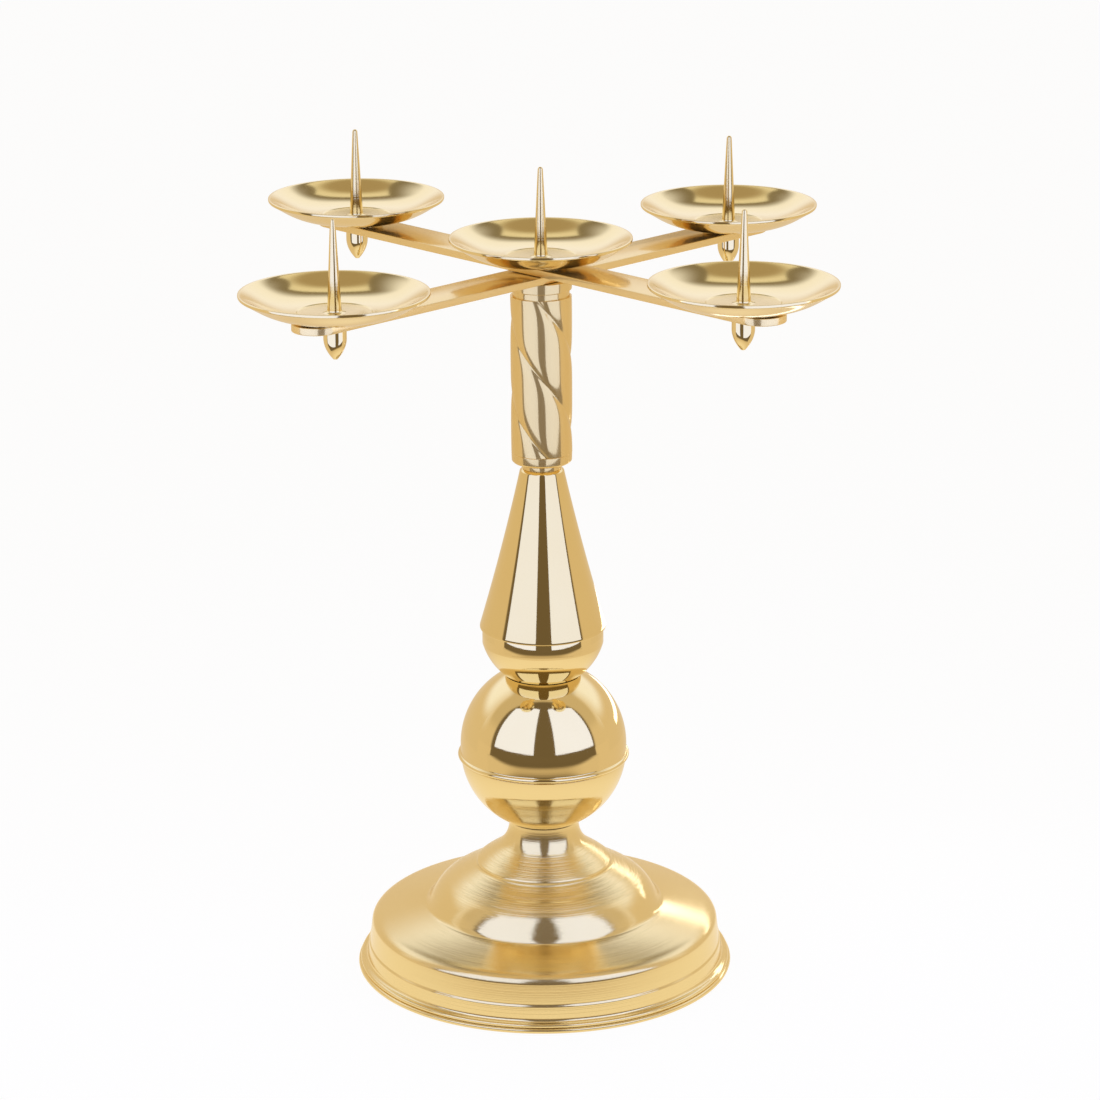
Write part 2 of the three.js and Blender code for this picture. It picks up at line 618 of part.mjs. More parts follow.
/** One arm: its bar, and at each end a drip plate, a spike through plate and bar, and a finial nut. */
function arm(barName, bottom, angle, endNames) {
  const group = new THREE.Group();
  group.position.z = bottom;
  group.rotation.z = THREE.MathUtils.degToRad(angle);
  group.add(bar(barName));
  endNames.forEach((endName, index) => {
    const end = new THREE.Group();
    end.position.x = index === 0 ? -SPIKE_DISTANCE : SPIKE_DISTANCE;
    const plate = dripPlate(`drip_plate_${endName}`);
    plate.position.z = BAR_THICKNESS;
    const pin = spike(`spike_${endName}`, plateFloor + BAR_THICKNESS + TAIL_GRIP);
    pin.position.z = BAR_THICKNESS + plateFloor;
    end.add(plate, pin, finialNut(`finial_nut_${endName}`));
    group.add(end);
  });
  return group;
}

/** Middle drip plate and the long spike that clamps plate, arms and cap to the pillar. */
function centrePlateAndSpike() {
  const group = new THREE.Group();
  group.position.z = centrePlateBottom;
  const tailEnd = pillarTop - CENTRE_TAIL_GRIP;
  const pin = spike('centre_spike', centrePlateBottom + plateFloor - tailEnd);
  pin.position.z = plateFloor;
  group.add(dripPlate('centre_drip_plate'), pin);
  return group;
}

const holder = new THREE.Group();
holder.add(
  baseShell(),
  ...innerParts(),
  ballLowerShell(),
  ballUpperShell(),
  cup(),
  cone(),
  collar(),
  pillarFoot(),
  pillar(),
  pillarCap(),
  centrePlateAndSpike(),
  arm('lower_bar', lowerBarBottom, ARM_ANGLE, ['front_left', 'back_right']),
  arm('upper_bar', upperBarBottom, -ARM_ANGLE, ['back_left', 'front_right']),
);

export default holder;
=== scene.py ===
"""Looks of the brass advent candle holder, in metres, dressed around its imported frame."""

from __future__ import annotations

import logging
import math
from bisect import bisect_right
from dataclasses import dataclass, field
from enum import Enum
from itertools import accumulate

import bmesh
import bpy
from mathutils import Matrix, Vector

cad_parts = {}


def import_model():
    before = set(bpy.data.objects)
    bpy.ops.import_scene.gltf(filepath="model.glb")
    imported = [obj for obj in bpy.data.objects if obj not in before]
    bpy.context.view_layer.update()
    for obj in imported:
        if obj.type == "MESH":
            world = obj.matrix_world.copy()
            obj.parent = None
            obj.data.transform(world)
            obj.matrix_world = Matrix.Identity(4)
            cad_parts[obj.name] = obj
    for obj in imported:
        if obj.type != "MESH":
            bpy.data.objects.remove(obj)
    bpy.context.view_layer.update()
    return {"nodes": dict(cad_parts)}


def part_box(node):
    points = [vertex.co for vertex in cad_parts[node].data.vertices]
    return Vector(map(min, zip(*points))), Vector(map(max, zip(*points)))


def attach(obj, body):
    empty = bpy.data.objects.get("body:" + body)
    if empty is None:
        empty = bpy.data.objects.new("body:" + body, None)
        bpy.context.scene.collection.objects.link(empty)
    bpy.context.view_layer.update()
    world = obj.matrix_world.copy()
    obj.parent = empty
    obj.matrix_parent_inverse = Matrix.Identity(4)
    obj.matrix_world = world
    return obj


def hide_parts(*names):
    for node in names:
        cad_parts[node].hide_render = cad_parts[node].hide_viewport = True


LOG = logging.getLogger("advent_candle_holder")
MM = 0.001
MERGE_DISTANCE = 0.0005
NOISE_MIDDLE = 0.5
WHITE = (1.0, 1.0, 1.0)
ENDS = ("front_left", "back_right", "front_right", "back_left")

Colour = tuple[float, float, float]
Span = tuple[float, float]
Bend = tuple[tuple[float, float], tuple[float, float]]


class Body(Enum):
    """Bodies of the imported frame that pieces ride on."""

    STAND = "stand"
    LOWER_ARM = "lower_arm"
    UPPER_ARM = "upper_arm"


class Grain(Enum):
    """Direction of the fine tool marks on a finish."""

    RINGS = "rings round an upright axis"
    LENGTHWISE = "lines along a bar"


# Node helpers


class Field:
    """A node socket with arithmetic, so that a mask can be written as an expression."""

    def __init__(self, builder: NodeBuilder, socket: bpy.types.NodeSocket) -> None:
        """Keeps an output socket and the maker of its tree's nodes."""
        self.builder = builder
        self.socket = socket

    def _math(self, operation: str, first: Field | float, second: Field | float) -> Field:
        """Adds one Math node and returns its output."""
        return self.builder.node("ShaderNodeMath", {"operation": operation}, {0: first, 1: second})

    def __add__(self, other: Field | float) -> Field:
        """Sum of two values."""
        return self._math("ADD", self, other)

    __radd__ = __add__

    def __sub__(self, other: Field | float) -> Field:
        """Difference of two values."""
        return self._math("SUBTRACT", self, other)

    def __rsub__(self, other: Field | float) -> Field:
        """Difference, with the plain number first."""
        return self._math("SUBTRACT", other, self)

    def __mul__(self, other: Field | float) -> Field:
        """Product of two values."""
        return self._math("MULTIPLY", self, other)

    __rmul__ = __mul__

    def __truediv__(self, other: Field | float) -> Field:
        """Quotient of two values."""
        return self._math("DIVIDE", self, other)

    def power(self, exponent: float) -> Field:
        """This value raised to a power."""
        return self._math("POWER", self, exponent)

    def absolute(self) -> Field:
        """This value without its sign."""
        return self._math("ABSOLUTE", self, 0.0)

    def larger(self, other: Field | float) -> Field:
        """The larger of two values."""
        return self._math("MAXIMUM", self, other)

    def ramp(self, low: float, high: float) -> Field:
        """Smooth step from 0 at one value to 1 at the other, which may be the lower one."""
        return self.builder.node("ShaderNodeMapRange", {"interpolation_type": "SMOOTHSTEP"}, {
            "Value": self, "From Min": low, "From Max": high})


class NodeBuilder:
    """Makes the nodes of one tree."""

    def __init__(self, tree: bpy.types.NodeTree) -> None:
        """Empties the tree of a material or of the world and keeps it."""
        self.tree = tree
        tree.nodes.clear()

    def node(self, kind: str, settings: dict | None = None, inputs: dict | None = None,
             output: str | int = 0) -> Field | None:
        """Adds one node.

        Args:
            kind: type of the node.
            settings: the node's own properties, set first.
            inputs: value, colour or Field for each socket, by name or number.
            output: socket that is returned.

        Returns:
            The chosen output socket, or None for a node that ends a tree.
        """
        made = self.tree.nodes.new(kind)
        for name, value in (settings or {}).items():
            setattr(made, name, value)
        for name, value in (inputs or {}).items():
            socket = made.inputs[name]
            if isinstance(value, Field):
                self.tree.links.new(value.socket, socket)
            else:
                socket.default_value = (*value, 1.0) if socket.type == "RGBA" else value
        return Field(self, made.outputs[output]) if made.outputs else None

    def split(self, vector: Field) -> tuple[Field, ...]:
        """The three parts of a vector."""
        first = self.node("ShaderNodeSeparateXYZ", {}, {0: vector})
        return tuple(Field(self, socket) for socket in first.socket.node.outputs)

    def mix_colour(self, factor: Field | float, first: Colour | Field, second: Colour | Field) -> Field:
        """Blends two colours by a factor."""
        return self.node("ShaderNodeMix", {"data_type": "RGBA"}, {0: factor, 6: first, 7: second}, 2)

    def mix_shader(self, factor: Field | float, first: Field, second: Field) -> Field:
        """Blends two shaders by a factor."""
        return self.node("ShaderNodeMixShader", {}, {0: factor, 1: first, 2: second})

    def noise(self, vector: Field, scale: float, detail: float, roughness: float) -> Field:
        """Noise value from 0 to 1 at a scale per metre."""
        return self.node("ShaderNodeTexNoise", {}, {
            "Vector": vector, "Scale": scale, "Detail": detail, "Roughness": roughness})

    def glow(self, colour: Colour | Field, strength: float = 1.0) -> Field:
        """Shader that gives off a colour."""
        return self.node("ShaderNodeEmission", {}, {"Color": colour, "Strength": strength})

    def light_path(self, ray: str) -> Field:
        """1 for one kind of ray, else 0."""
        return self.node("ShaderNodeLightPath", output=ray)


def start_material(name: str) -> tuple[bpy.types.Material, NodeBuilder, Field]:
    """Starts a node material.

    Args:
        name: name of the material.

    Returns:
        The material, the maker of its nodes, and its Object coordinates.
    """
    made = bpy.data.materials.new(name)
    made.use_nodes = True
    nodes = NodeBuilder(made.node_tree)
    return made, nodes, nodes.node("ShaderNodeTexCoord", output="Object")


# Finishes


@dataclass(frozen=True)
class BrassFinish:
    """One finish of brass, with the marks that its maker's tools leave.

    The tone is the clean and the tarnished colour. Spacings, depths and heights are in millimetres, and the
    scales of the slow patterns are per metre.
    """

    name: str
    tone: tuple[Colour, Colour]
    roughness: float
    roughness_spread: float
    grain: Grain = Grain.RINGS
    mark_spacing: float = 0.45
    mark_depth: float = 0.0
    ripple_depth: float = 0.0
    coarse_depth: float = 0.0
    coarse_heights: Span = (0.0, 0.0)
    soft_roughness: float = 0.0
    soft_heights: Span = (0.0, 0.0)
    height_blend: float = 2.5
    haze: float = 0.0
    haze_roughness: float = 0.5
    tarnish_scale: float = 28.0
    tarnish_share: float = 0.6
    handling_scale: float = 140.0
    marks_share: float = 0.35
    ripple_scale: float = 36.0
    line_stretch: float = 0.02

    def material(self, centre: Vector = Vector(), turn: float = 0.0) -> bpy.types.Material:
        """Builds the node material.

        Args:
            centre: place of the piece's upright axis, which rings go round.
            turn: angle of a bar about the upright axis, in radians.

        Returns:
            A material whose patterns read Object coordinates.
        """
        made, nodes, place = start_material(self.name)
        local = nodes.node("ShaderNodeMapping", {"vector_type": "TEXTURE"}, {
            "Vector": place, "Location": tuple(centre), "Rotation": (0.0, 0.0, turn)})
        marks = self._marks(nodes, local)
        tarnish = nodes.noise(local, self.tarnish_scale, 3.0, 0.55)
        clean, tarnished = self.tone
        ripple = nodes.noise(local, self.ripple_scale, 1.0, 0.4)
        height = marks * self._depth(nodes, local) + ripple * (self.ripple_depth * MM)
        surface = {
            "Base Color": nodes.mix_colour(tarnish, tarnished, clean),
            "Roughness": self._roughness(nodes, local, tarnish, marks),
            "Metallic": 1.0,
            "Normal": nodes.node("ShaderNodeBump", {}, {"Strength": 1.0, "Distance": 1.0, "Height": height}),
        }
        shader = nodes.node("ShaderNodeBsdfPrincipled", {}, surface)
        if self.haze:
            surface["Roughness"] = self.haze_roughness
            veil = nodes.node("ShaderNodeBsdfPrincipled", {}, surface)
            shader = nodes.mix_shader(self.haze, shader, veil)
        nodes.node("ShaderNodeOutputMaterial", {}, {"Surface": shader})
        return made

    def _roughness(self, nodes: NodeBuilder, local: Field, tarnish: Field, marks: Field) -> Field:
        """Roughness that follows tarnish, handling and tool marks.

        Args:
            nodes: maker of the material's nodes.
            local: coordinates about the piece's axis.
            tarnish: slow tarnish pattern, from 0 to 1.
            marks: tool marks, from 0 to 1.

        Returns:
            The roughness.
        """
        handling = nodes.noise(local, self.handling_scale, 2.0, 0.6)
        slow = self.tarnish_share * tarnish + (1.0 - self.tarnish_share) * handling - NOISE_MIDDLE
        fine = self.marks_share * self.roughness_spread * (marks - NOISE_MIDDLE)
        roughness = self.roughness + self.roughness_spread * slow + fine
        if self.soft_roughness:
            roughness = roughness + self.soft_roughness * self._between(nodes, local, self.soft_heights)
        return roughness

    def _depth(self, nodes: NodeBuilder, local: Field) -> Field | float:
        """Depth of the tool marks, greater between two heights where the tool pressed harder.

        Args:
            nodes: maker of the material's nodes.
            local: coordinates about the piece's axis.

        Returns:
            The depth in metres.
        """
        if not self.coarse_depth:
            return self.mark_depth * MM
        pressed = self._between(nodes, local, self.coarse_heights)
        return (self.mark_depth + (self.coarse_depth - self.mark_depth) * pressed) * MM

    def _between(self, nodes: NodeBuilder, local: Field, heights: Span) -> Field:
        """1 between two heights, falling softly to 0 outside them.

        Args:
            nodes: maker of the material's nodes.
            local: coordinates about the piece's axis.
            heights: the lower and the upper height, in millimetres.

        Returns:
            The mask.
        """
        up = nodes.split(local)[2] / MM
        low, high = heights
        rising = up.ramp(low - self.height_blend, low + self.height_blend)
        return rising * up.ramp(high + self.height_blend, high - self.height_blend)

    def _marks(self, nodes: NodeBuilder, local: Field) -> Field:
        """Fine uneven tool marks.

        Args:
            nodes: maker of the material's nodes.
            local: coordinates about the piece's axis.

        Returns:
            Their height, from 0 to 1.
        """
        along, across, up = nodes.split(local)
        rate = 1.0 / (self.mark_spacing * MM)
        if self.grain is Grain.RINGS:
            radius = (along * along + across * across).power(0.5)
            parts = {0: radius * rate, 1: up * rate, 2: 0.0}
        else:
            parts = {0: along * (rate * self.line_stretch), 1: across * rate, 2: up * rate}
        return nodes.noise(nodes.node("ShaderNodeCombineXYZ", {}, parts), 1.0, 2.0, 0.7)


@dataclass(frozen=True)
class PlainMetal:
    """A hidden piece's steel or iron."""

    name: str
    colour: Colour
    roughness: float
    pit_depth: float
    mottle_scale: float = 220.0
    dark_share: float = 0.6
    roughness_spread: float = 0.2

    def material(self) -> bpy.types.Material:
        """Builds the node material.

        Returns:
            A mottled and slightly pitted metal.
        """
        made, nodes, place = start_material(self.name)
        mottle = nodes.noise(place, self.mottle_scale, 4.0, 0.6)
        dark = tuple(self.dark_share * value for value in self.colour)
        pits = mottle * (self.pit_depth * MM)
        shader = nodes.node("ShaderNodeBsdfPrincipled", {}, {
            "Base Color": nodes.mix_colour(mottle, dark, self.colour),
            "Metallic": 1.0,
            "Roughness": self.roughness + self.roughness_spread * mottle,
            "Normal": nodes.node("ShaderNodeBump", {}, {"Distance": 1.0, "Height": pits}),
        })
        nodes.node("ShaderNodeOutputMaterial", {}, {"Surface": shader})
        return made


BRASS = ((0.91, 0.755, 0.4), (0.88, 0.705, 0.345))
CONE_BRASS = ((0.88, 0.715, 0.355), (0.85, 0.665, 0.305))
PILLAR_BRASS = ((0.9, 0.7, 0.31), (0.87, 0.65, 0.27))
BAR_BRASS = ((0.96, 0.765, 0.375), (0.94, 0.72, 0.325))
POLISHED = BrassFinish("polished_brass", BRASS, 0.05, 0.04, mark_depth=0.003, ripple_depth=0.01)
SPUN = BrassFinish("spun_brass", BRASS, 0.08, 0.05, mark_spacing=0.5, mark_depth=0.05, ripple_depth=0.01,
                   coarse_depth=0.2, coarse_heights=(40.0, 57.0), soft_roughness=0.09,
                   soft_heights=(21.0, 28.0), haze=0.14)
SPUN_BALL = BrassFinish("spun_ball_brass", BRASS, 0.06, 0.04, mark_spacing=0.5, mark_depth=0.005,
                        ripple_depth=0.01, coarse_depth=0.05, coarse_heights=(60.0, 88.0))
POLISHED_CONE = BrassFinish("polished_cone_brass", CONE_BRASS, 0.05, 0.04, mark_depth=0.003,
                            ripple_depth=0.012)
PILLAR_SATIN = BrassFinish("satin_pillar_brass", PILLAR_BRASS, 0.1, 0.05, mark_spacing=0.3, mark_depth=0.001,
                           ripple_depth=0.01, haze=0.35)
PLATE_SATIN = BrassFinish("satin_plate_brass", BRASS, 0.11, 0.05, mark_spacing=0.25, mark_depth=0.0015)
BAR_SATIN = BrassFinish("bar_brass", BAR_BRASS, 0.15, 0.06, Grain.LENGTHWISE, mark_spacing=0.4,
                        mark_depth=0.002, ripple_depth=0.01, haze=0.4)
SPIKE_TURNED = BrassFinish("spike_brass", BRASS, 0.12, 0.06, mark_spacing=0.35, mark_depth=0.02)
STEEL = PlainMetal("zinc_plated_steel", (0.55, 0.55, 0.53), 0.35, 0.01)
IRON = PlainMetal("cast_iron", (0.16, 0.155, 0.15), 0.5, 0.12)


# Mesh helpers


class Outline:
    """Outline of a turned piece, in millimetres of radius and height, drawn corner by corner."""

    def __init__(self, radius: float, height: float) -> None:
        """Starts the outline at a point."""
        self.points: list[Vector] = [Vector((radius, height))]
        self.fillets: dict[int, float] = {}

    @property
    def end(self) -> Vector:
        """Last point so far."""
        return self.points[-1]

    def to(self, radius: float, height: float) -> Outline:
        """Goes straight to a point."""
        self.points.append(Vector((radius, height)))
        return self

    def curve(self, radius: float, height: float, first: Span, second: Span, steps: int) -> Outline:
        """Goes to a point along a smooth curve.

        Args:
            radius: radius of the curve's end.
            height: height of the curve's end.
            first: first control point, as shares of the way across and up from start to end.
            second: second control point, in the same way.
            steps: number of points that the curve adds.

        Returns:
            This outline.
        """
        start, end = self.end.copy(), Vector((radius, height))
        span = end - start
        one = start + Vector((span.x * first[0], span.y * first[1]))
        two = start + Vector((span.x * second[0], span.y * second[1]))
        for step in range(1, steps + 1):
            t = step / steps
            s = 1.0 - t
            self.points.append(s ** 3 * start + 3 * s * s * t * one + 3 * s * t * t * two + t ** 3 * end)
        return self

    def bend(self, control: Vector, end: Vector, steps: int) -> Outline:
        """Goes to a point along a curve with one control point."""
        self.points.extend(quadratic(self.end, control, end, steps)[1:])
        return self

    def arc(self, centre: Vector, end: Vector, steps: int) -> Outline:
        """Goes round a centre at the present radius until the direction of a point.

        Args:
            centre: the arc's centre.
            end: point that gives the last direction.
            steps: number of points that the arc adds.

        Returns:
            This outline.
        """
        out = self.end - centre
        begin = math.atan2(out.y, out.x)
        turn = math.atan2(end.y - centre.y, end.x - centre.x) - begin
        for step in range(1, steps + 1):
            angle = begin + turn * step / steps
            self.points.append(centre + out.length * Vector((math.cos(angle), math.sin(angle))))
        return self

    def fillet(self, reach: float) -> Outline:
        """Marks the present corner to be rounded off over this distance on either side."""
        self.fillets[len(self.points) - 1] = reach
        return self

    def rounded(self, closed: bool, steps: int = 5) -> list[Vector]:
        """Rounds off each marked corner.

        Args:
            closed: whether the outline closes on itself.
            steps: number of short edges round a corner.

        Returns:
            Points of the whole outline.
        """
        path = self.points + ([self.points[0]] if closed else [])
        gaps = ((second - first).length for first, second in zip(path, path[1:]))
        lengths = list(accumulate(gaps, initial=0.0))
        made: list[tuple[float, Vector]] = []
        resume = -1.0
        for index, here in enumerate(self.points):
            reach = self.fillets.get(index)
            if reach:
                begin, resume = lengths[index] - reach, lengths[index] + reach
                made = [item for item in made if item[0] < begin]
                start, end = self._at(path, lengths, begin), self._at(path, lengths, resume)
                made.extend((begin, point) for point in quadratic(start, here, end, steps))
            elif lengths[index] > resume:
                made.append((lengths[index], here))
        return [point for _, point in made]

    @staticmethod
    def _at(path: list[Vector], lengths: list[float], place: float) -> Vector:
        """Finds the point at a distance along a path.

        Args:
            path: points of the path.
            lengths: distance of each of them from the start.
            place: the distance asked for.

        Returns:
            The point, between two of the path's own.
        """
        after = min(max(bisect_right(lengths, place), 1), len(path) - 1)
        share = (place - lengths[after - 1]) / (lengths[after] - lengths[after - 1])
        return path[after - 1].lerp(path[after], share)


def quadratic(start: Vector, control: Vector, end: Vector, steps: int) -> list[Vector]:
    """Points from start to end along a curve with one control point."""
    shares = [step / steps for step in range(steps + 1)]
    return [(1 - t) ** 2 * start + 2 * t * (1 - t) * control + t * t * end for t in shares]


def leg(slant: float, other: float) -> float:
    """Side of a right triangle, from its longest side and the other one."""
    return math.sqrt(slant ** 2 - other ** 2)


def finish_mesh(name: str, shape: bmesh.types.BMesh, material: bpy.types.Material,
                sharp_degrees: float = 40.0) -> bpy.types.Object:
    """Turns a bmesh in millimetres into a smooth object in metres at the origin.

    Args:
        name: name of the object.
        shape: closed bmesh; it is freed.
        material: its finish.
        sharp_degrees: faces that meet at more than this keep a sharp edge.

    Returns:
        The linked object.
    """
    bmesh.ops.remove_doubles(shape, verts=shape.verts, dist=MERGE_DISTANCE)
    bmesh.ops.recalc_face_normals(shape, faces=shape.faces)
    bmesh.ops.scale(shape, vec=(MM, MM, MM), verts=shape.verts)
    mesh = bpy.data.meshes.new(name)
    shape.to_mesh(mesh)
    shape.free()
    mesh.shade_smooth()
    mesh.set_sharp_from_angle(angle=math.radians(sharp_degrees))
    mesh.materials.append(material)
    made = bpy.data.objects.new(name, mesh)
    bpy.context.scene.collection.objects.link(made)
    return made


def turned(outline: Outline, sides: int, closed: bool = True, place: Vector = Vector()) -> bmesh.types.BMesh:
    """Revolves an outline about an upright axis.

    Args:
        outline: the section, in millimetres.
        sides: number of steps round the axis.
        closed: whether the outline closes on itself rather than ending on the axis.
        place: where the axis and height 0 stand, in millimetres.

    Returns:
        The turned shape.
    """
    shape = bmesh.new()
    verts = [shape.verts.new((point.x, 0.0, point.y)) for point in outline.rounded(closed)]
    pairs = list(zip(verts, verts[1:])) + ([(verts[-1], verts[0])] if closed else [])
    edges = [shape.edges.new(pair) for pair in pairs]
    bmesh.ops.spin(shape, geom=verts + edges, cent=(0, 0, 0), axis=(0, 0, 1), angle=2 * math.pi,
                   steps=sides, use_merge=True)
    bmesh.ops.translate(shape, vec=place, verts=shape.verts)
    return shape


def heights(node: str) -> tuple[float, float]:
    """Lowest and highest height of a CAD node, in millimetres."""
    low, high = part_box(node)
    return low.z / MM, high.z / MM


def middle(node: str) -> Vector:
    """Centre of a CAD node's underside, in millimetres."""
    low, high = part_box(node)
    return Vector(((low.x + high.x) / 2, (low.y + high.y) / 2, low.z)) / MM


def upright_axis(node: str) -> Vector:
    """Place of a CAD node's axis at height 0, in millimetres."""
    centre = middle(node)
    return Vector((centre.x, centre.y, 0.0))


def outer_radius(node: str) -> float:
    """Greatest radius of a turned CAD node, in millimetres."""
    low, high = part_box(node)
    return (high.x - low.x) / 2 / MM


def seat(piece: bpy.types.Object, body: Body, node: str) -> None:
    """Makes a piece ride on a body in place of a CAD node, and logs it.

    Args:
        piece: the dressed piece.
        body: the body that carries it.
        node: the CAD node that it stands for.
    """
    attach(piece, body.value)
    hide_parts(node)
    LOG.info("%s: %d faces on %s", piece.name, len(piece.data.polygons), body.value)


# Foot and stem


@dataclass
class Foot:
    """Spun sheet foot; the iron disc, washer, nut and rod under it stay as the solids draw them."""

    sheet: float = 1.2
    band_radius: float = 81.0
    band_taper: float = 0.6
    band_height: float = 4.9
    band_edge: float = 0.3
    ridge_reach: float = 4.2
    ridge_height: float = 2.5
    ridge_out: Bend = ((0.5, 0.0), (1.0, 0.4))
    ridge_in: Bend = ((0.0, 0.6), (0.4, 1.0))
    groove_reach: float = 2.6
    upper_ridge_reach: float = 3.2
    upper_ridge_height: float = 1.9
    upper_ridge_out: Bend = ((0.6, 0.0), (1.0, 0.4))
    upper_ridge_in: Bend = ((0.0, 0.6), (0.5, 1.0))
    cove_height: float = 1.9
    cove_curve: Bend = ((0.7, 0.1), (1.0, 0.5))
    skirt_step: float = 0.6
    skirt_height: float = 8.7
    skirt_taper: float = 1.0
    skirt_edge: float = 0.4
    shoulder_across: float = 6.5
    shoulder_down: float = 3.3
    low_dome_rise: float = 5.3
    low_dome_crown: float = 0.2
    middle_dome_radius: float = 52.4
    middle_dome_rise: float = 16.9
    middle_dome_curve: Bend = ((0.28, 0.62), (0.43, 0.64))
    crease_width: float = 1.4
    crease_depth: float = 1.5
    crease_edge: float = 0.9
    upper_crease_width: float = 1.2
    upper_crease_depth: float = 0.6
    upper_crease_edge: float = 0.8
    neck_foot_radius: float = 30.0
    neck_bead_reach: float = 0.6
    neck_bead_height: float = 2.0
    neck_bead_out: Bend = ((0.6, 0.2), (1.0, 0.6))
    neck_bead_in: Bend = ((0.0, 0.4), (0.5, 0.8))
    neck_rise: float = 18.7
    neck_radius: float = 15.6
    neck_curve: Bend = ((0.45, 0.3), (0.97, 0.36))
    rim_width: float = 1.8
    lining_stride: int = 4
    sides: int = 288

    def build(self) -> None:
        """Makes the shell."""
        outline = Outline(self.band_radius + self.ridge_reach / 2, 0.0)
        band_bottom = self._ridges(outline)
        self._domes(outline, self._band(outline, band_bottom))
        self._inside(outline, band_bottom)
        piece = finish_mesh("foot_shell", turned(outline, self.sides), SPUN.material(), sharp_degrees=50.0)
        seat(piece, Body.STAND, "base_shell")

    def _ridges(self, outline: Outline) -> float:
        """Draws the two ridges and the cove over them.

        Args:
            outline: the outer face so far.

        Returns:
            Height of the band's foot.
        """
        radius, groove = self.band_radius, self.ridge_height
        top = groove + self.upper_ridge_height
        bottom = top + self.cove_height
        upper_middle = groove + self.upper_ridge_height / 2
        outline.curve(radius + self.ridge_reach, groove / 2, *self.ridge_out, steps=6)
        outline.curve(radius + self.groove_reach, groove, *self.ridge_in, steps=6)
        outline.curve(radius + self.upper_ridge_reach, upper_middle, *self.upper_ridge_out, steps=6)
        outline.curve(radius + self.upper_ridge_reach / 2, top, *self.upper_ridge_in, steps=6)
        outline.curve(radius, bottom, *self.cove_curve, steps=8)
        return bottom

    def _band(self, outline: Outline, bottom: float) -> float:
        """Draws the band and the skirt.

        Args:
            outline: the outer face so far.
            bottom: height of the band's foot.

        Returns:
            Height of the skirt's top.
        """
        radius = self.band_radius - self.band_taper
        step_foot = bottom + self.band_height
        skirt_foot = step_foot + self.skirt_step
        skirt_top = skirt_foot + self.skirt_height
        outline.to(radius, step_foot).fillet(self.band_edge)
        outline.to(radius - self.skirt_step, skirt_foot).fillet(self.skirt_edge)
        outline.to(radius - self.skirt_step - self.skirt_taper, skirt_top)
        return skirt_top

    def _domes(self, outline: Outline, skirt_top: float) -> None:
        """Draws the shoulder, the low dome, the middle dome and the neck.

        Args:
            outline: the outer face so far.
            skirt_top: height of the skirt's top.
        """
        corner_height = skirt_top + self.shoulder_down
        slant = self.skirt_taper / self.skirt_height
        corner = Vector((outline.end.x - slant * self.shoulder_down, corner_height))
        dome_end = Vector((self.middle_dome_radius + self.crease_width, corner_height + self.low_dome_rise))
        start = corner.lerp(dome_end, self.shoulder_across / (corner.x - dome_end.x))
        outline.bend(corner, start, steps=14)
        crown = start.lerp(dome_end, 0.5) + Vector((0.0, 2 * self.low_dome_crown))
        outline.bend(crown, dome_end, steps=16).fillet(self.crease_edge)
        dome_foot = dome_end.y + self.crease_depth
        dome_top = dome_foot + self.middle_dome_rise
        radius = self.neck_foot_radius
        outline.to(self.middle_dome_radius, dome_foot)
        outline.curve(radius + self.upper_crease_width, dome_top, *self.middle_dome_curve, steps=44)
        crease_top = dome_top + self.upper_crease_depth
        outline.to(radius + self.neck_bead_reach / 2, crease_top).fillet(self.upper_crease_edge)
        bead_middle = crease_top + self.neck_bead_height / 2
        outline.curve(radius + self.neck_bead_reach, bead_middle, *self.neck_bead_out, steps=6)
        neck_foot = crease_top + self.neck_bead_height
        outline.curve(radius, neck_foot, *self.neck_bead_in, steps=6)
        outline.curve(self.neck_radius, neck_foot + self.neck_rise, *self.neck_curve, steps=40)

    def _inside(self, outline: Outline, band_bottom: float) -> None:
        """Draws the inner face back down to the table, a sheet's thickness behind the outer one.

        Args:
            outline: the whole outer face.
            band_bottom: height below which the rim is solid.
        """
        top = outline.end.copy()
        outline.to(top.x - self.sheet, top.y)
        outer = [Vector(point) for point in outline.points[:-1]]
        behind = []
        for index in range(len(outer) - 2, 0, -self.lining_stride):
            along = (outer[index + 1] - outer[index - 1]).normalized()
            moved = outer[index] + self.sheet * Vector((-along.y, along.x))
            if outer[index].y < band_bottom:
                break
            if not behind or (moved - behind[-1]).dot(outer[index - 1] - outer[index + 1]) > 0:
                behind.append(moved)
        outline.points.extend(behind)
        outline.to(self.band_radius + self.ridge_reach / 2 - self.rim_width, 0.0)


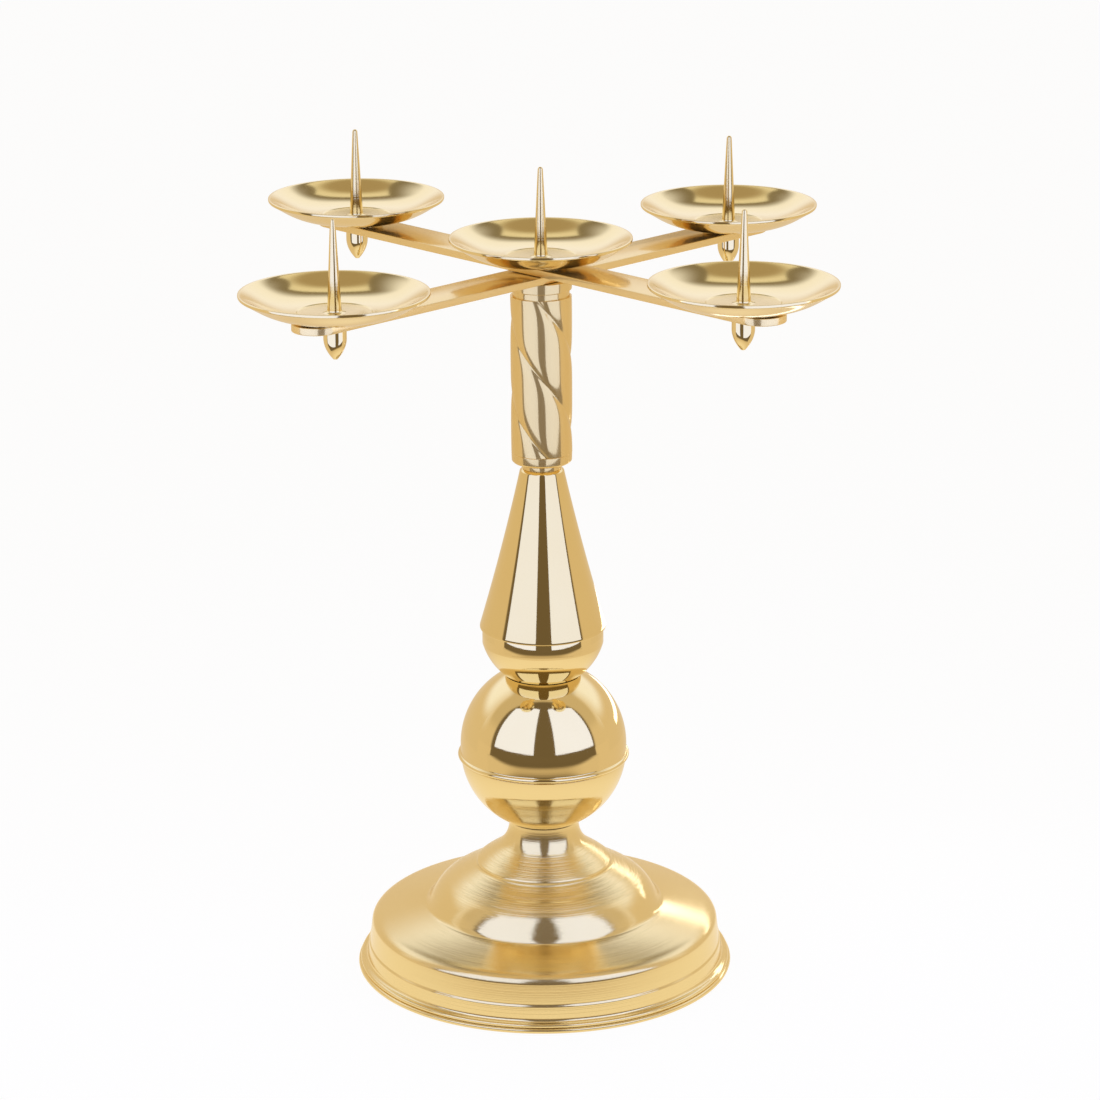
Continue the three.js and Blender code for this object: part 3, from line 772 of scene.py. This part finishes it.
@dataclass
class Ball:
    """Ball of two sheet halves; the upper one laps over the lower with a rounded bead."""

    sheet: float = 1.2
    radius: float = 37.4
    bead_radius: float = 1.2
    bead_drop: float = 4.7
    bead_edge: float = 0.5
    shoulder_edge: float = 0.25
    hole_radius: float = 4.3
    gap: float = 0.3
    sides: int = 224

    def build(self) -> None:
        """Makes both halves."""
        self._lower()
        self._upper()

    def _lower(self) -> None:
        """Lower half with its spigot."""
        bottom, top = heights("ball_lower_shell")
        shoulder = heights("ball_upper_shell")[0] - self.gap
        inner = self.radius - self.sheet
        lining = inner - self.gap - self.sheet
        centre = Vector((0.0, bottom + leg(self.radius, self.hole_radius)))
        edge = leg(self.radius, shoulder - centre.y)
        outline = Outline(self.hole_radius, bottom)
        outline.arc(centre, Vector((edge, shoulder)), steps=60).fillet(self.shoulder_edge)
        outline.to(inner - self.gap, shoulder).to(inner - self.gap, top)
        outline.to(lining, top).to(lining, centre.y - leg(inner, lining))
        outline.arc(centre, Vector((self.hole_radius, centre.y - leg(inner, self.hole_radius))), steps=24)
        piece = finish_mesh("ball_lower_half", turned(outline, self.sides), SPUN_BALL.material())
        seat(piece, Body.STAND, "ball_lower_shell")

    def _upper(self) -> None:
        """Upper half with its bead."""
        bottom, top = heights("ball_upper_shell")
        inner = self.radius - self.sheet
        centre = Vector((0.0, top - leg(self.radius, self.hole_radius)))
        bead = Vector((self.radius, centre.y - self.bead_drop))
        outline = Outline(inner, bottom).to(bead.x, bottom)
        outline.arc(bead, bead + Vector((0.0, 1.0)), steps=14).fillet(self.bead_edge)
        outline.to(self.radius, centre.y)
        outline.arc(centre, Vector((self.hole_radius, top)), steps=72)
        outline.to(self.hole_radius, centre.y + leg(inner, self.hole_radius))
        outline.arc(centre, Vector((inner, centre.y)), steps=24)
        piece = finish_mesh("ball_upper_half", turned(outline, self.sides), SPUN_BALL.material())
        seat(piece, Body.STAND, "ball_upper_shell")


@dataclass
class CupAndCone:
    """Round-bottomed cup on the ball, and the tall cone that stands on its rim."""

    sheet: float = 1.2
    seat_radius: float = 37.7
    cup_radius: float = 27.1
    cup_bevel_height: float = 2.6
    cup_bevel_width: float = 0.3
    cup_bevel_edge: float = 0.6
    cup_rim_edge: float = 0.3
    bowl_radius: float = 28.1
    bowl_lift: float = 55.8
    cone_top_radius: float = 9.8
    cone_top_round: float = 1.0
    cone_top_edge: float = 0.3
    cone_lip: float = 1.0
    cone_lip_edge: float = 0.4
    cone_foot_edge: float = 0.35
    cone_hollow: float = 0.65
    cone_flange: float = 3.6
    hole_radius: float = 4.3
    ball_radius: float = 37.4
    sides: int = 192

    def build(self) -> None:
        """Makes the cup and the cone."""
        self._cup()
        self._cone()

    @staticmethod
    def _crossing(ball: Vector, seat_radius: float, bowl: Vector, bowl_radius: float) -> Vector:
        """Finds where the dished floor meets the bowl.

        Args:
            ball: centre of the ball, which the floor follows.
            seat_radius: radius of the floor.
            bowl: centre of the bowl.
            bowl_radius: radius of the bowl.

        Returns:
            The point where the two arcs cross.
        """
        apart = bowl.y - ball.y
        rise = (apart ** 2 + seat_radius ** 2 - bowl_radius ** 2) / (2 * apart)
        return Vector((leg(seat_radius, rise), ball.y + rise))

    def _cup(self) -> None:
        """Cup with a floor dished to the ball."""
        top = heights("cup")[1]
        ball = Vector((0.0, heights("ball_upper_shell")[1] - leg(self.ball_radius, self.hole_radius)))
        bowl = ball + Vector((0.0, self.bowl_lift))
        inner_bowl, inner_seat = self.bowl_radius - self.sheet, self.seat_radius + self.sheet
        wall_inside = self.cup_radius - self.sheet
        outline = Outline(self.hole_radius, ball.y + leg(self.seat_radius, self.hole_radius))
        outline.arc(ball, self._crossing(ball, self.seat_radius, bowl, self.bowl_radius), steps=10)
        wall_foot = bowl.y - leg(self.bowl_radius, self.cup_radius)
        outline.arc(bowl, Vector((self.cup_radius, wall_foot)), steps=48)
        outline.to(self.cup_radius, top - self.cup_bevel_height).fillet(self.cup_bevel_edge)
        outline.to(self.cup_radius - self.cup_bevel_width, top).fillet(self.cup_rim_edge)
        outline.to(wall_inside, top).fillet(self.cup_rim_edge)
        outline.to(wall_inside, bowl.y - leg(inner_bowl, wall_inside))
        outline.arc(bowl, self._crossing(ball, inner_seat, bowl, inner_bowl), steps=20)
        outline.arc(ball, Vector((self.hole_radius, ball.y + leg(inner_seat, self.hole_radius))), steps=8)
        piece = finish_mesh("cup_bowl", turned(outline, self.sides), POLISHED.material())
        seat(piece, Body.STAND, "cup")

    def _cone(self) -> None:
        """Slightly hollow-sided cone with its turned-in flange."""
        bottom, top = heights("cone")
        radius = outer_radius("cone")
        outline = Outline(radius - self.cone_flange, bottom).to(radius, bottom).fillet(self.cone_foot_edge)
        outline.to(radius, bottom + self.cone_lip).fillet(self.cone_lip_edge)
        self._side(outline, Vector((self.cone_top_radius, top - self.cone_top_round)), steps=40)
        outline.fillet(self.cone_lip_edge)
        outline.to(self.cone_top_radius - self.cone_top_round, top).fillet(self.cone_top_edge)
        outline.to(self.hole_radius, top).to(self.hole_radius, top - self.sheet)
        outline.to(self.cone_top_radius - self.sheet, top - self.sheet)
        self._side(outline, Vector((radius - self.sheet, bottom + self.sheet)), steps=12)
        outline.to(radius - self.cone_flange, bottom + self.sheet)
        piece = finish_mesh("cone_sleeve", turned(outline, self.sides), POLISHED_CONE.material())
        seat(piece, Body.STAND, "cone")

    def _side(self, outline: Outline, end: Vector, steps: int) -> None:
        """Goes up or down the cone's side, drawn in at half its height."""
        control = outline.end.lerp(end, 0.5) - Vector((2 * self.cone_hollow, 0.0))
        outline.bend(control, end, steps)


@dataclass
class Pillar:
    """Collar, foot disc, twisted pillar and cap."""

    rod_hole: float = 4.3
    tail_hole: float = 3.3
    collar_edge: float = 0.25
    foot_chamfer: float = 0.8
    foot_taper: float = 0.1
    foot_under_edge: float = 0.2
    foot_side_edge: float = 0.3
    foot_top_bevel: float = 0.3
    foot_top_edge: float = 0.15
    cap_neck_radius: float = 12.5
    cap_neck_height: float = 2.9
    cap_neck_edge: float = 0.3
    cap_edge: float = 0.35
    radius: float = 13.5
    strands: int = 3
    lead: float = 99.6
    valley_depth: float = 0.9
    valley_spread: float = 11.0
    valley_round: float = 1.6
    front_valley: float = 35.6
    rod_bore: float = 21.0
    tail_bore: float = 16.0
    side_tolerance: float = 0.01
    sides: int = 144
    columns: int = 300
    levels: int = 220

    def build(self) -> None:
        """Makes the four pieces."""
        self._collar()
        self._foot_disc()
        self._twist()
        self._cap()

    def _seat(self, name: str, node: str, shape: bmesh.types.BMesh, sharp_degrees: float = 40.0) -> None:
        """Dresses one of the four pieces and seats it."""
        piece = finish_mesh(name, shape, PILLAR_SATIN.material(), sharp_degrees)
        seat(piece, Body.STAND, node)

    def _collar(self) -> None:
        """Plain spacer over the cone."""
        bottom, top = heights("collar")
        radius = outer_radius("collar")
        outline = Outline(self.rod_hole, bottom).to(radius, bottom).fillet(self.collar_edge)
        outline.to(radius, top).fillet(self.collar_edge).to(self.rod_hole, top)
        self._seat("spacer_collar", "collar", turned(outline, self.sides))

    def _foot_disc(self) -> None:
        """Disc under the pillar, chamfered below."""
        bottom, top = heights("pillar_foot")
        radius = outer_radius("pillar_foot")
        side = radius - self.foot_taper
        outline = Outline(self.rod_hole, bottom)
        outline.to(side - self.foot_chamfer, bottom).fillet(self.foot_under_edge)
        outline.to(side, bottom + self.foot_chamfer).fillet(self.foot_side_edge)
        outline.to(radius, top - self.foot_top_bevel).fillet(self.foot_top_edge)
        outline.to(radius - self.foot_top_bevel, top).fillet(self.foot_top_edge)
        outline.to(self.rod_hole, top)
        self._seat("pillar_foot_disc", "pillar_foot", turned(outline, self.sides))

    def _cap(self) -> None:
        """Cap with its narrow reveal."""
        bottom, top = heights("pillar_cap")
        radius = outer_radius("pillar_cap")
        disc = bottom + self.cap_neck_height
        outline = Outline(self.tail_hole, bottom).to(self.cap_neck_radius, bottom)
        outline.to(self.cap_neck_radius, disc).fillet(self.cap_neck_edge)
        outline.to(radius, disc).fillet(self.cap_edge).to(radius, top).fillet(self.cap_edge)
        outline.to(self.tail_hole, top)
        self._seat("pillar_cap_disc", "pillar_cap", turned(outline, self.sides))

    def _strand_radius(self, angle: float) -> float:
        """Works out the section, which has a rounded valley between two strands.

        Args:
            angle: angle from the first valley, in degrees.

        Returns:
            The radius there.
        """
        span = 360.0 / self.strands
        away = angle % span
        away = min(away, span - away)
        rounded = math.hypot(away, self.valley_round) - self.valley_round
        return self.radius - self.valley_depth * math.exp(-rounded / self.valley_spread)

    def _twist(self) -> None:
        """Pillar of twisted strands, spun as a round tube and then shaped point by point."""
        bottom, top = heights("pillar")
        outline = Outline(0.0, bottom + self.rod_bore).to(self.rod_hole, bottom + self.rod_bore)
        outline.to(self.rod_hole, bottom).to(self.radius, bottom)
        for level in range(1, self.levels + 1):
            outline.to(self.radius, bottom + (top - bottom) * level / self.levels)
        bore = top - self.tail_bore
        outline.to(self.tail_hole, top).to(self.tail_hole, bore).to(0.0, bore)
        shape = turned(outline, self.columns, closed=False)
        for vert in shape.verts:
            flat = vert.co.to_2d()
            if flat.length > self.radius - self.side_tolerance:
                from_front = math.degrees(math.atan2(flat.x, -flat.y))
                from_valley = from_front - (self.front_valley + bottom - vert.co.z) * 360.0 / self.lead
                vert.co.xy = flat.normalized() * self._strand_radius(from_valley)
        self._seat("twisted_pillar", "pillar", shape, sharp_degrees=60.0)


# Arms


@dataclass
class Arm:
    """Flat bar of one arm."""

    node: str
    body: Body
    angle: float
    spike_distance: float = 119.7
    end_reach: float = 20.5
    width: float = 21.0
    edge: float = 0.35
    level_tolerance: float = 0.001
    end_steps: int = 32

    def build(self) -> None:
        """Makes the bar with round ends and broken edges."""
        bottom, top = heights(self.node)
        shape = bmesh.new()
        cut = bmesh.ops.extrude_face_region(shape, geom=[shape.faces.new(self._outline(shape))])
        raised = [item for item in cut["geom"] if isinstance(item, bmesh.types.BMVert)]
        bmesh.ops.translate(shape, vec=(0, 0, top - bottom), verts=raised)
        rims = [edge for edge in shape.edges
                if abs(edge.verts[0].co.z - edge.verts[1].co.z) < self.level_tolerance]
        bmesh.ops.bevel(shape, geom=rims, offset=self.edge, segments=3, profile=0.5, affect="EDGES",
                        material=-1)
        turn = Matrix.Rotation(self.angle, 4, "Z")
        bmesh.ops.transform(shape, matrix=Matrix.Translation((0, 0, bottom)) @ turn, verts=shape.verts)
        material = BAR_SATIN.material(turn=self.angle)
        seat(finish_mesh(f"{self.node}_flat", shape, material, 60.0), self.body, self.node)

    def _outline(self, shape: bmesh.types.BMesh) -> list[bmesh.types.BMVert]:
        """Draws round the bar, with a half circle at each end.

        Args:
            shape: the bar's bmesh.

        Returns:
            The new vertices, in order.
        """
        half = self.width / 2
        straight = self.spike_distance + self.end_reach - half
        ring = []
        for side in (1, -1):
            for step in range(self.end_steps + 1):
                angle = math.pi * (step / self.end_steps - 0.5)
                x = side * (straight + half * math.cos(angle))
                ring.append(shape.verts.new((x, side * half * math.sin(angle), 0.0)))
        return ring


@dataclass
class PlateSet:
    """Drip plate with its spike and, at an arm's end, its pointed nut."""

    place: str
    body: Body
    rim_radius: float = 40.0
    rim_edge: float = 0.45
    lip: float = 1.3
    lip_width: float = 1.0
    lip_edge: float = 0.5
    dish_curve: Bend = ((0.528, 0.11), (0.759, 0.705))
    flat_radius: float = 19.0
    floor_radius: float = 15.5
    floor_step: float = 0.3
    floor_edge: float = 0.3
    foot_radius: float = 11.7
    foot_height: float = 1.3
    foot_edge: float = 0.3
    sheet: float = 1.2
    hole_radius: float = 3.3
    sides: int = 192
    spike_radius: float = 3.0
    spike_height: float = 39.5
    spike_end_edge: float = 0.3
    spike_sides: int = 72
    flare_radius: float = 4.9
    flare_height: float = 1.4
    flare_curve: Bend = ((0.75, 0.1), (0.97, 0.45))
    flare_edge: float = 0.15
    tip_radius: float = 1.1
    tip_edge: float = 0.6
    tip_top_edge: float = 0.3
    nut_radius: float = 4.9
    nut_straight: float = 5.4
    nut_curve: Bend = ((0.5, 0.25), (0.97, 0.6))
    nut_tip: float = 0.9
    nut_tip_rise: float = 0.15
    nut_edge: float = 0.35
    nut_bore: float = 8.0
    nut_sides: int = 96

    def build(self) -> None:
        """Makes the plate, the spike and the nut."""
        self._plate()
        self._spike()
        if self.place != "centre":
            self._nut()

    def _node(self, piece: str) -> str:
        """Name of the CAD node of a piece at this place."""
        return f"centre_{piece}" if self.place == "centre" else f"{piece}_{self.place}"

    def _plate(self) -> None:
        """Dished plate on its raised foot, with a stepped floor and a rounded rim."""
        node = self._node("drip_plate")
        bottom, top = heights(node)
        height, floor = top - bottom, self.foot_height + self.sheet
        first, second = self.dish_curve
        outline = Outline(self.hole_radius, 0.0).to(self.foot_radius, 0.0).fillet(self.foot_edge)
        outline.to(self.foot_radius, self.foot_height).fillet(self.foot_edge)
        outline.to(self.flat_radius, self.foot_height)
        outline.curve(self.rim_radius, height - self.lip, first, second, steps=40).fillet(self.lip_edge)
        outline.to(self.rim_radius, height).fillet(self.rim_edge)
        outline.to(self.rim_radius - self.lip_width, height).fillet(self.rim_edge)
        step_radius, step_height = self.floor_radius + self.floor_step, floor + self.floor_step
        back_first, back_second = (1 - second[0], 1 - second[1]), (1 - first[0], 1 - first[1])
        outline.curve(step_radius, step_height, back_first, back_second, steps=40).fillet(self.floor_edge)
        outline.to(self.floor_radius, floor).fillet(self.floor_edge)
        outline.to(self.hole_radius, floor)
        centre = middle(node)
        shape = turned(outline, self.sides, place=centre)
        piece = finish_mesh(f"{node}_dish", shape, PLATE_SATIN.material(centre * MM))
        seat(piece, self.body, node)

    def _spike(self) -> None:
        """Tapered spike with its flared foot and its tail through the plate."""
        node = self._node("spike")
        end, top = heights(node)
        foot = top - self.spike_height
        outline = Outline(0.0, end).to(self.spike_radius, end).fillet(self.spike_end_edge)
        outline.to(self.spike_radius, foot).to(self.flare_radius, foot).fillet(self.flare_edge)
        outline.curve(self.spike_radius, foot + self.flare_height, *self.flare_curve, steps=10)
        outline.to(self.tip_radius, top - self.tip_radius / 2).fillet(self.tip_edge)
        outline.to(self.tip_radius / 2, top).fillet(self.tip_top_edge).to(0.0, top)
        centre = upright_axis(node)
        shape = turned(outline, self.spike_sides, closed=False, place=centre)
        piece = finish_mesh(f"{node}_pin", shape, SPIKE_TURNED.material(centre * MM))
        seat(piece, self.body, node)

    def _nut(self) -> None:
        """Pointed nut with its blind bore."""
        node = self._node("finial_nut")
        bottom, top = heights(node)
        outline = Outline(0.0, bottom).to(self.nut_tip, bottom + self.nut_tip_rise)
        outline.curve(self.nut_radius, top - self.nut_straight, *self.nut_curve, steps=24)
        bore = top - self.nut_bore
        outline.to(self.nut_radius, top).fillet(self.nut_edge)
        outline.to(self.hole_radius, top).to(self.hole_radius, bore).to(0.0, bore)
        centre = upright_axis(node)
        shape = turned(outline, self.nut_sides, closed=False, place=centre)
        piece = finish_mesh(f"{node}_point", shape, POLISHED.material(centre * MM))
        seat(piece, self.body, node)


# Studio


@dataclass(frozen=True)
class Softbox:
    """Upright soft lamp that also shows as a bright window in polished metal.

    An edge stands at an azimuth, counted in degrees from the front, and a distance from the object's axis.
    """

    name: str
    inner_azimuth: float
    inner_distance: float
    outer_azimuth: float
    outer_distance: float
    lean: float = math.radians(1.5)
    bottom: float = 0.125
    top: float = 0.75
    strength: float = 1.84
    colour: Colour = (0.46, 0.555, 1.0)

    def edges(self) -> tuple[Vector, Vector]:
        """Places of the inner and the outer upright edge on the floor."""
        inner, outer = math.radians(self.inner_azimuth), math.radians(self.outer_azimuth)
        return (self.inner_distance * Vector((math.sin(inner), -math.cos(inner), 0.0)),
                self.outer_distance * Vector((math.sin(outer), -math.cos(outer), 0.0)))

    def hang(self) -> None:
        """Puts up the lamp, which faces the object."""
        data = bpy.data.lights.new(self.name, "AREA")
        data.shape = "RECTANGLE"
        inner, outer = self.edges()
        along = outer - inner
        data.size, data.size_y = along.length, self.top - self.bottom
        data.color = self.colour
        data.energy = self.strength * data.size * data.size_y * math.pi
        lamp = bpy.data.objects.new(self.name, data)
        away = Vector((along.y, -along.x, 0.0)).normalized() * math.copysign(1.0, self.outer_azimuth)
        upward = math.cos(self.lean) * Vector((0.0, 0.0, 1.0)) - math.sin(self.lean) * along.normalized()
        turn = Matrix((upward.cross(away), upward, away)).transposed().to_4x4()
        centre = inner.lerp(outer, 0.5) + Vector((0.0, 0.0, (self.top + self.bottom) / 2))
        lamp.matrix_world = Matrix.Translation(centre) @ turn
        lamp.visible_camera = False
        bpy.context.scene.collection.objects.link(lamp)


@dataclass(frozen=True)
class Screen:
    """Curved upright screen that only metal sees; a negative radius puts it behind the object."""

    name: str
    radius: float
    height: float
    reach: float
    steps: int = 48

    def stand(self, material: bpy.types.Material) -> None:
        """Makes the screen.

        Args:
            material: its glow.
        """
        shape = bmesh.new()
        foot = shape.verts.new((0.0, -self.radius / MM, 0.0))
        top = shape.verts.new((0.0, -self.radius / MM, self.height / MM))
        bmesh.ops.rotate(shape, matrix=Matrix.Rotation(-self.reach, 3, "Z"), verts=shape.verts)
        bmesh.ops.spin(shape, geom=[foot, top, shape.edges.new((foot, top))], axis=(0, 0, 1),
                       angle=2 * self.reach, steps=self.steps)
        screen = finish_mesh(self.name, shape, material)
        screen.visible_camera = False
        screen.visible_shadow = False
        screen.visible_diffuse = False


@dataclass(frozen=True)
class Ceiling:
    """Dim ceiling of the tent with a brighter panel over the object, as polished metal sees it.

    A place on it is given by two slopes: how far to the side and how far back for one step up.
    """

    dark: Colour = (0.24, 0.2, 0.14)
    dark_side: float = 0.36
    dark_side_fade: float = 0.42
    dark_back: float = 0.86
    dark_back_fade: float = 0.5
    panel: Colour = (0.88, 0.82, 0.7)
    panel_side: float = 0.33
    panel_back: float = 0.8
    panel_edge: Span = (1.03, 0.97)
    shade: Colour = (0.43, 0.34, 0.21)
    shade_back: Span = (0.66, 0.46)
    front: Colour = (0.66, 0.54, 0.38)
    front_back: Span = (0.34, 0.14)
    front_up: Span = (0.25, 0.5)
    least_up: float = 0.02

    def over(self, nodes: NodeBuilder, tent: Field, direction: tuple[Field, Field, Field]) -> Field:
        """Lays the ceiling over the tent's colour.

        Args:
            nodes: maker of the world's nodes.
            tent: colour of the tent.
            direction: how far a direction goes to either side, back and up.

        Returns:
            The colour of tent and ceiling.
        """
        sideways, depth, up = direction
        raised = up.larger(self.least_up)
        beside, beyond = sideways / raised, depth / raised
        past_side = (beside - self.dark_side) / self.dark_side_fade
        past_back = (beyond - self.dark_back) / self.dark_back_fade
        ceiling = nodes.mix_colour(past_side.larger(past_back).ramp(0.0, 1.0), self.dark, tent)
        inside = (beside / self.panel_side).larger(beyond / self.panel_back).ramp(*self.panel_edge)
        panel = nodes.mix_colour(beyond.ramp(*self.shade_back), self.panel, self.shade)
        ceiling = nodes.mix_colour(inside, ceiling, panel)
        overhead = beyond.ramp(*self.front_back) * up.ramp(*self.front_up)
        return nodes.mix_colour(overhead, ceiling, self.front)


@dataclass
class Studio:
    """Pale floor, white tent, soft lamps and camera.

    To the camera all is white. Polished metal sees the tent, an opening to a dark room in front, and a table
    with a low lip at its edge and a board behind.
    """

    camera_distance: float = 1.65
    camera_height: float = 0.7155
    camera_turn: float = math.radians(0.6)
    pitch: float = math.radians(17.465)
    roll: float = -0.005
    side_yaw: float = -0.00205
    focal_pixels: float = 3890.5
    frame_pixels: float = 1100.0
    sensor: float = 36.0
    side_light: Colour = (0.78, 0.64, 0.465)
    back_light: Colour = (1.05, 1.08, 1.3)
    back_light_depth: Span = (0.0, 0.5)
    back_light_up: Span = (0.1, 0.4)
    ceiling: Ceiling = Ceiling()
    dark_room: Colour = (0.176, 0.133, 0.083)
    opening_width: float = 4.3
    opening_side_blur: float = 0.15
    opening_height: float = 4.7
    opening_top_blur: float = 0.2
    floor_size: float = 12.0
    floor_matte: Colour = (0.95, 0.93, 0.85)
    floor_share: float = 0.9
    floor_glow: float = 1.03
    table_white: Colour = (0.96, 0.86, 0.72)
    table_fade: Span = (0.12, 0.32)
    table_blur: float = 0.02
    dark_floor_start: float = 0.15
    dark_floor_slope: float = 4.0
    lip: Screen = Screen("table_lip", 0.3, 0.066, math.radians(78.0))
    lip_light: Colour = (0.62, 0.49, 0.33)
    lip_width: float = 0.95
    lip_dark: Span = (0.15, 0.65)
    lip_end_rise: float = 0.6
    lip_end_power: float = 6.0
    lip_end_fade: Span = (0.5, 0.9)
    board: Screen = Screen("back_board", -0.5, 0.4, math.radians(80.0))
    board_full: float = 0.55
    softboxes: list[Softbox] = field(default_factory=lambda: [
        Softbox("left_softbox", -10.6, 0.3, -68.0, 0.487),
        Softbox("right_softbox", 14.4, 0.303, 71.0, 0.495),
        Softbox("back_strip", 126.0, 0.33, 163.0, 0.19, lean=0.0, bottom=0.103, top=0.131, strength=2.0,
                colour=(0.8, 0.84, 1.0)),
    ])

    def build(self) -> None:
        """Sets up camera, world, floor, screens and lamps."""
        self._camera()
        self._world()
        shape = bmesh.new()
        bmesh.ops.create_grid(shape, x_segments=1, y_segments=1, size=self.floor_size / 2 / MM)
        finish_mesh("pale_floor", shape, self._floor_material())
        self.lip.stand(self._lip_material())
        self.board.stand(self._board_material())
        for softbox in self.softboxes:
            softbox.hang()
        bpy.context.scene.view_settings.view_transform = "Standard"

    def _camera(self) -> None:
        """Camera at the photograph's viewing angle."""
        data = bpy.data.cameras.new("photo_camera")
        data.sensor_width = self.sensor
        data.lens = self.focal_pixels / self.frame_pixels * self.sensor
        camera = bpy.data.objects.new("photo_camera", data)
        turn = Matrix.Rotation(self.camera_turn, 4, "Z")
        place = Matrix.Translation((0.0, -self.camera_distance, self.camera_height))
        look = (Matrix.Rotation(self.side_yaw, 4, "Z") @ Matrix.Rotation(math.pi / 2 - self.pitch, 4, "X")
                @ Matrix.Rotation(self.roll, 4, "Z"))
        camera.matrix_world = turn @ place @ look
        bpy.context.scene.collection.objects.link(camera)
        bpy.context.scene.camera = camera

    def _world(self) -> None:
        """White to the camera; to metal a white tent with a dim ceiling and an opening to a dark room."""
        world = bpy.data.worlds.new("studio")
        world.use_nodes = True
        bpy.context.scene.world = world
        nodes = NodeBuilder(world.node_tree)
        across, depth, up = nodes.split(nodes.node("ShaderNodeTexCoord", output="Generated"))
        sideways = across.absolute()
        bright = depth.ramp(*self.back_light_depth) * up.ramp(*self.back_light_up)
        tent = nodes.mix_colour(bright, self.side_light, self.back_light)
        tent = self.ceiling.over(nodes, tent, (sideways, depth, up))
        width = -self.opening_width * depth - sideways
        height = -self.opening_height * depth - up
        opening = (width.ramp(-self.opening_side_blur, self.opening_side_blur)
                   * height.ramp(-self.opening_top_blur, self.opening_top_blur))
        room = nodes.mix_colour(opening, tent, self.dark_room)
        colour = nodes.mix_colour(nodes.light_path("Is Camera Ray"), room, WHITE)
        background = nodes.node("ShaderNodeBackground", {}, {"Color": colour, "Strength": 1.0})
        nodes.node("ShaderNodeOutputWorld", {}, {"Surface": background})

    def _lip_material(self) -> bpy.types.Material:
        """Builds the glow of the table's low lip.

        Returns:
            A glow that is dark along the top and pale at the foot and the ends.
        """
        made, nodes, place = start_material(self.lip.name)
        across, _, up = nodes.split(place)
        sideways = across.absolute() / (self.lip_width * self.lip.radius)
        raised = up / self.lip.height - self.lip_end_rise * sideways.power(self.lip_end_power)
        pale = nodes.mix_colour(sideways.ramp(*self.lip_end_fade), self.lip_light, self.side_light)
        colour = nodes.mix_colour(raised.ramp(*self.lip_dark), pale, self.dark_room)
        nodes.node("ShaderNodeOutputMaterial", {}, {"Surface": nodes.glow(colour)})
        return made

    def _board_material(self) -> bpy.types.Material:
        """Builds the glow of the cream board behind the foot.

        Returns:
            A glow that fades out upwards.
        """
        made, nodes, place = start_material(self.board.name)
        share = nodes.split(place)[2].ramp(self.board.height, self.board_full * self.board.height)
        clear = nodes.node("ShaderNodeBsdfTransparent")
        mixed = nodes.mix_shader(share, clear, nodes.glow(self.side_light))
        nodes.node("ShaderNodeOutputMaterial", {}, {"Surface": mixed})
        return made

    def _floor_material(self) -> bpy.types.Material:
        """Builds the white floor with the object's soft shadow.

        Returns:
            A material that metal sees as a pale table, and as dark beyond the table's front edge.
        """
        made, nodes, place = start_material("pale_floor")
        across, depth, _ = nodes.split(place)
        radius = (across * across + depth * depth).power(0.5)
        slope = self.dark_floor_slope
        aside = (depth + self.dark_floor_start).larger((across.absolute() + slope * depth) / slope)
        on_table = (self.lip.radius - radius).larger(aside).ramp(-self.table_blur, self.table_blur)
        near = nodes.mix_colour(radius.ramp(*self.table_fade), self.table_white, self.side_light)
        table = nodes.mix_colour(on_table, self.dark_room, near)
        camera, glossy = nodes.light_path("Is Camera Ray"), nodes.light_path("Is Glossy Ray")
        light = nodes.glow(nodes.mix_colour(glossy, WHITE, table), self.floor_glow)
        matte = nodes.node("ShaderNodeBsdfDiffuse", {}, {"Color": self.floor_matte})
        mixed = nodes.mix_shader(self.floor_share * camera + glossy, matte, light)
        nodes.node("ShaderNodeOutputMaterial", {}, {"Surface": mixed})
        return made


def dress_hidden_metal(nodes: dict[str, bpy.types.Object]) -> None:
    """Gives the steel and iron under the foot their finishes.

    Args:
        nodes: the CAD nodes by name.
    """
    steel = STEEL.material()
    finishes = {"ballast_disc": IRON.material(), "base_washer": steel, "base_nut": steel, "tie_rod": steel}
    for name, material in finishes.items():
        mesh = nodes[name].data
        mesh.materials.clear()
        mesh.materials.append(material)
        LOG.info("%s: dressed in %s", name, material.name)


def main() -> None:
    """Builds the studio and every piece."""
    logging.basicConfig(level=logging.INFO, format="%(name)s %(message)s")
    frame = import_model()
    Studio().build()
    Foot().build()
    Ball().build()
    CupAndCone().build()
    Pillar().build()
    Arm("lower_bar", Body.LOWER_ARM, math.radians(45)).build()
    Arm("upper_bar", Body.UPPER_ARM, math.radians(-45)).build()
    PlateSet("centre", Body.STAND).build()
    for index, place in enumerate(ENDS):
        PlateSet(place, Body.LOWER_ARM if index < 2 else Body.UPPER_ARM).build()
    dress_hidden_metal(frame["nodes"])


if __name__ == "__main__":
    main()
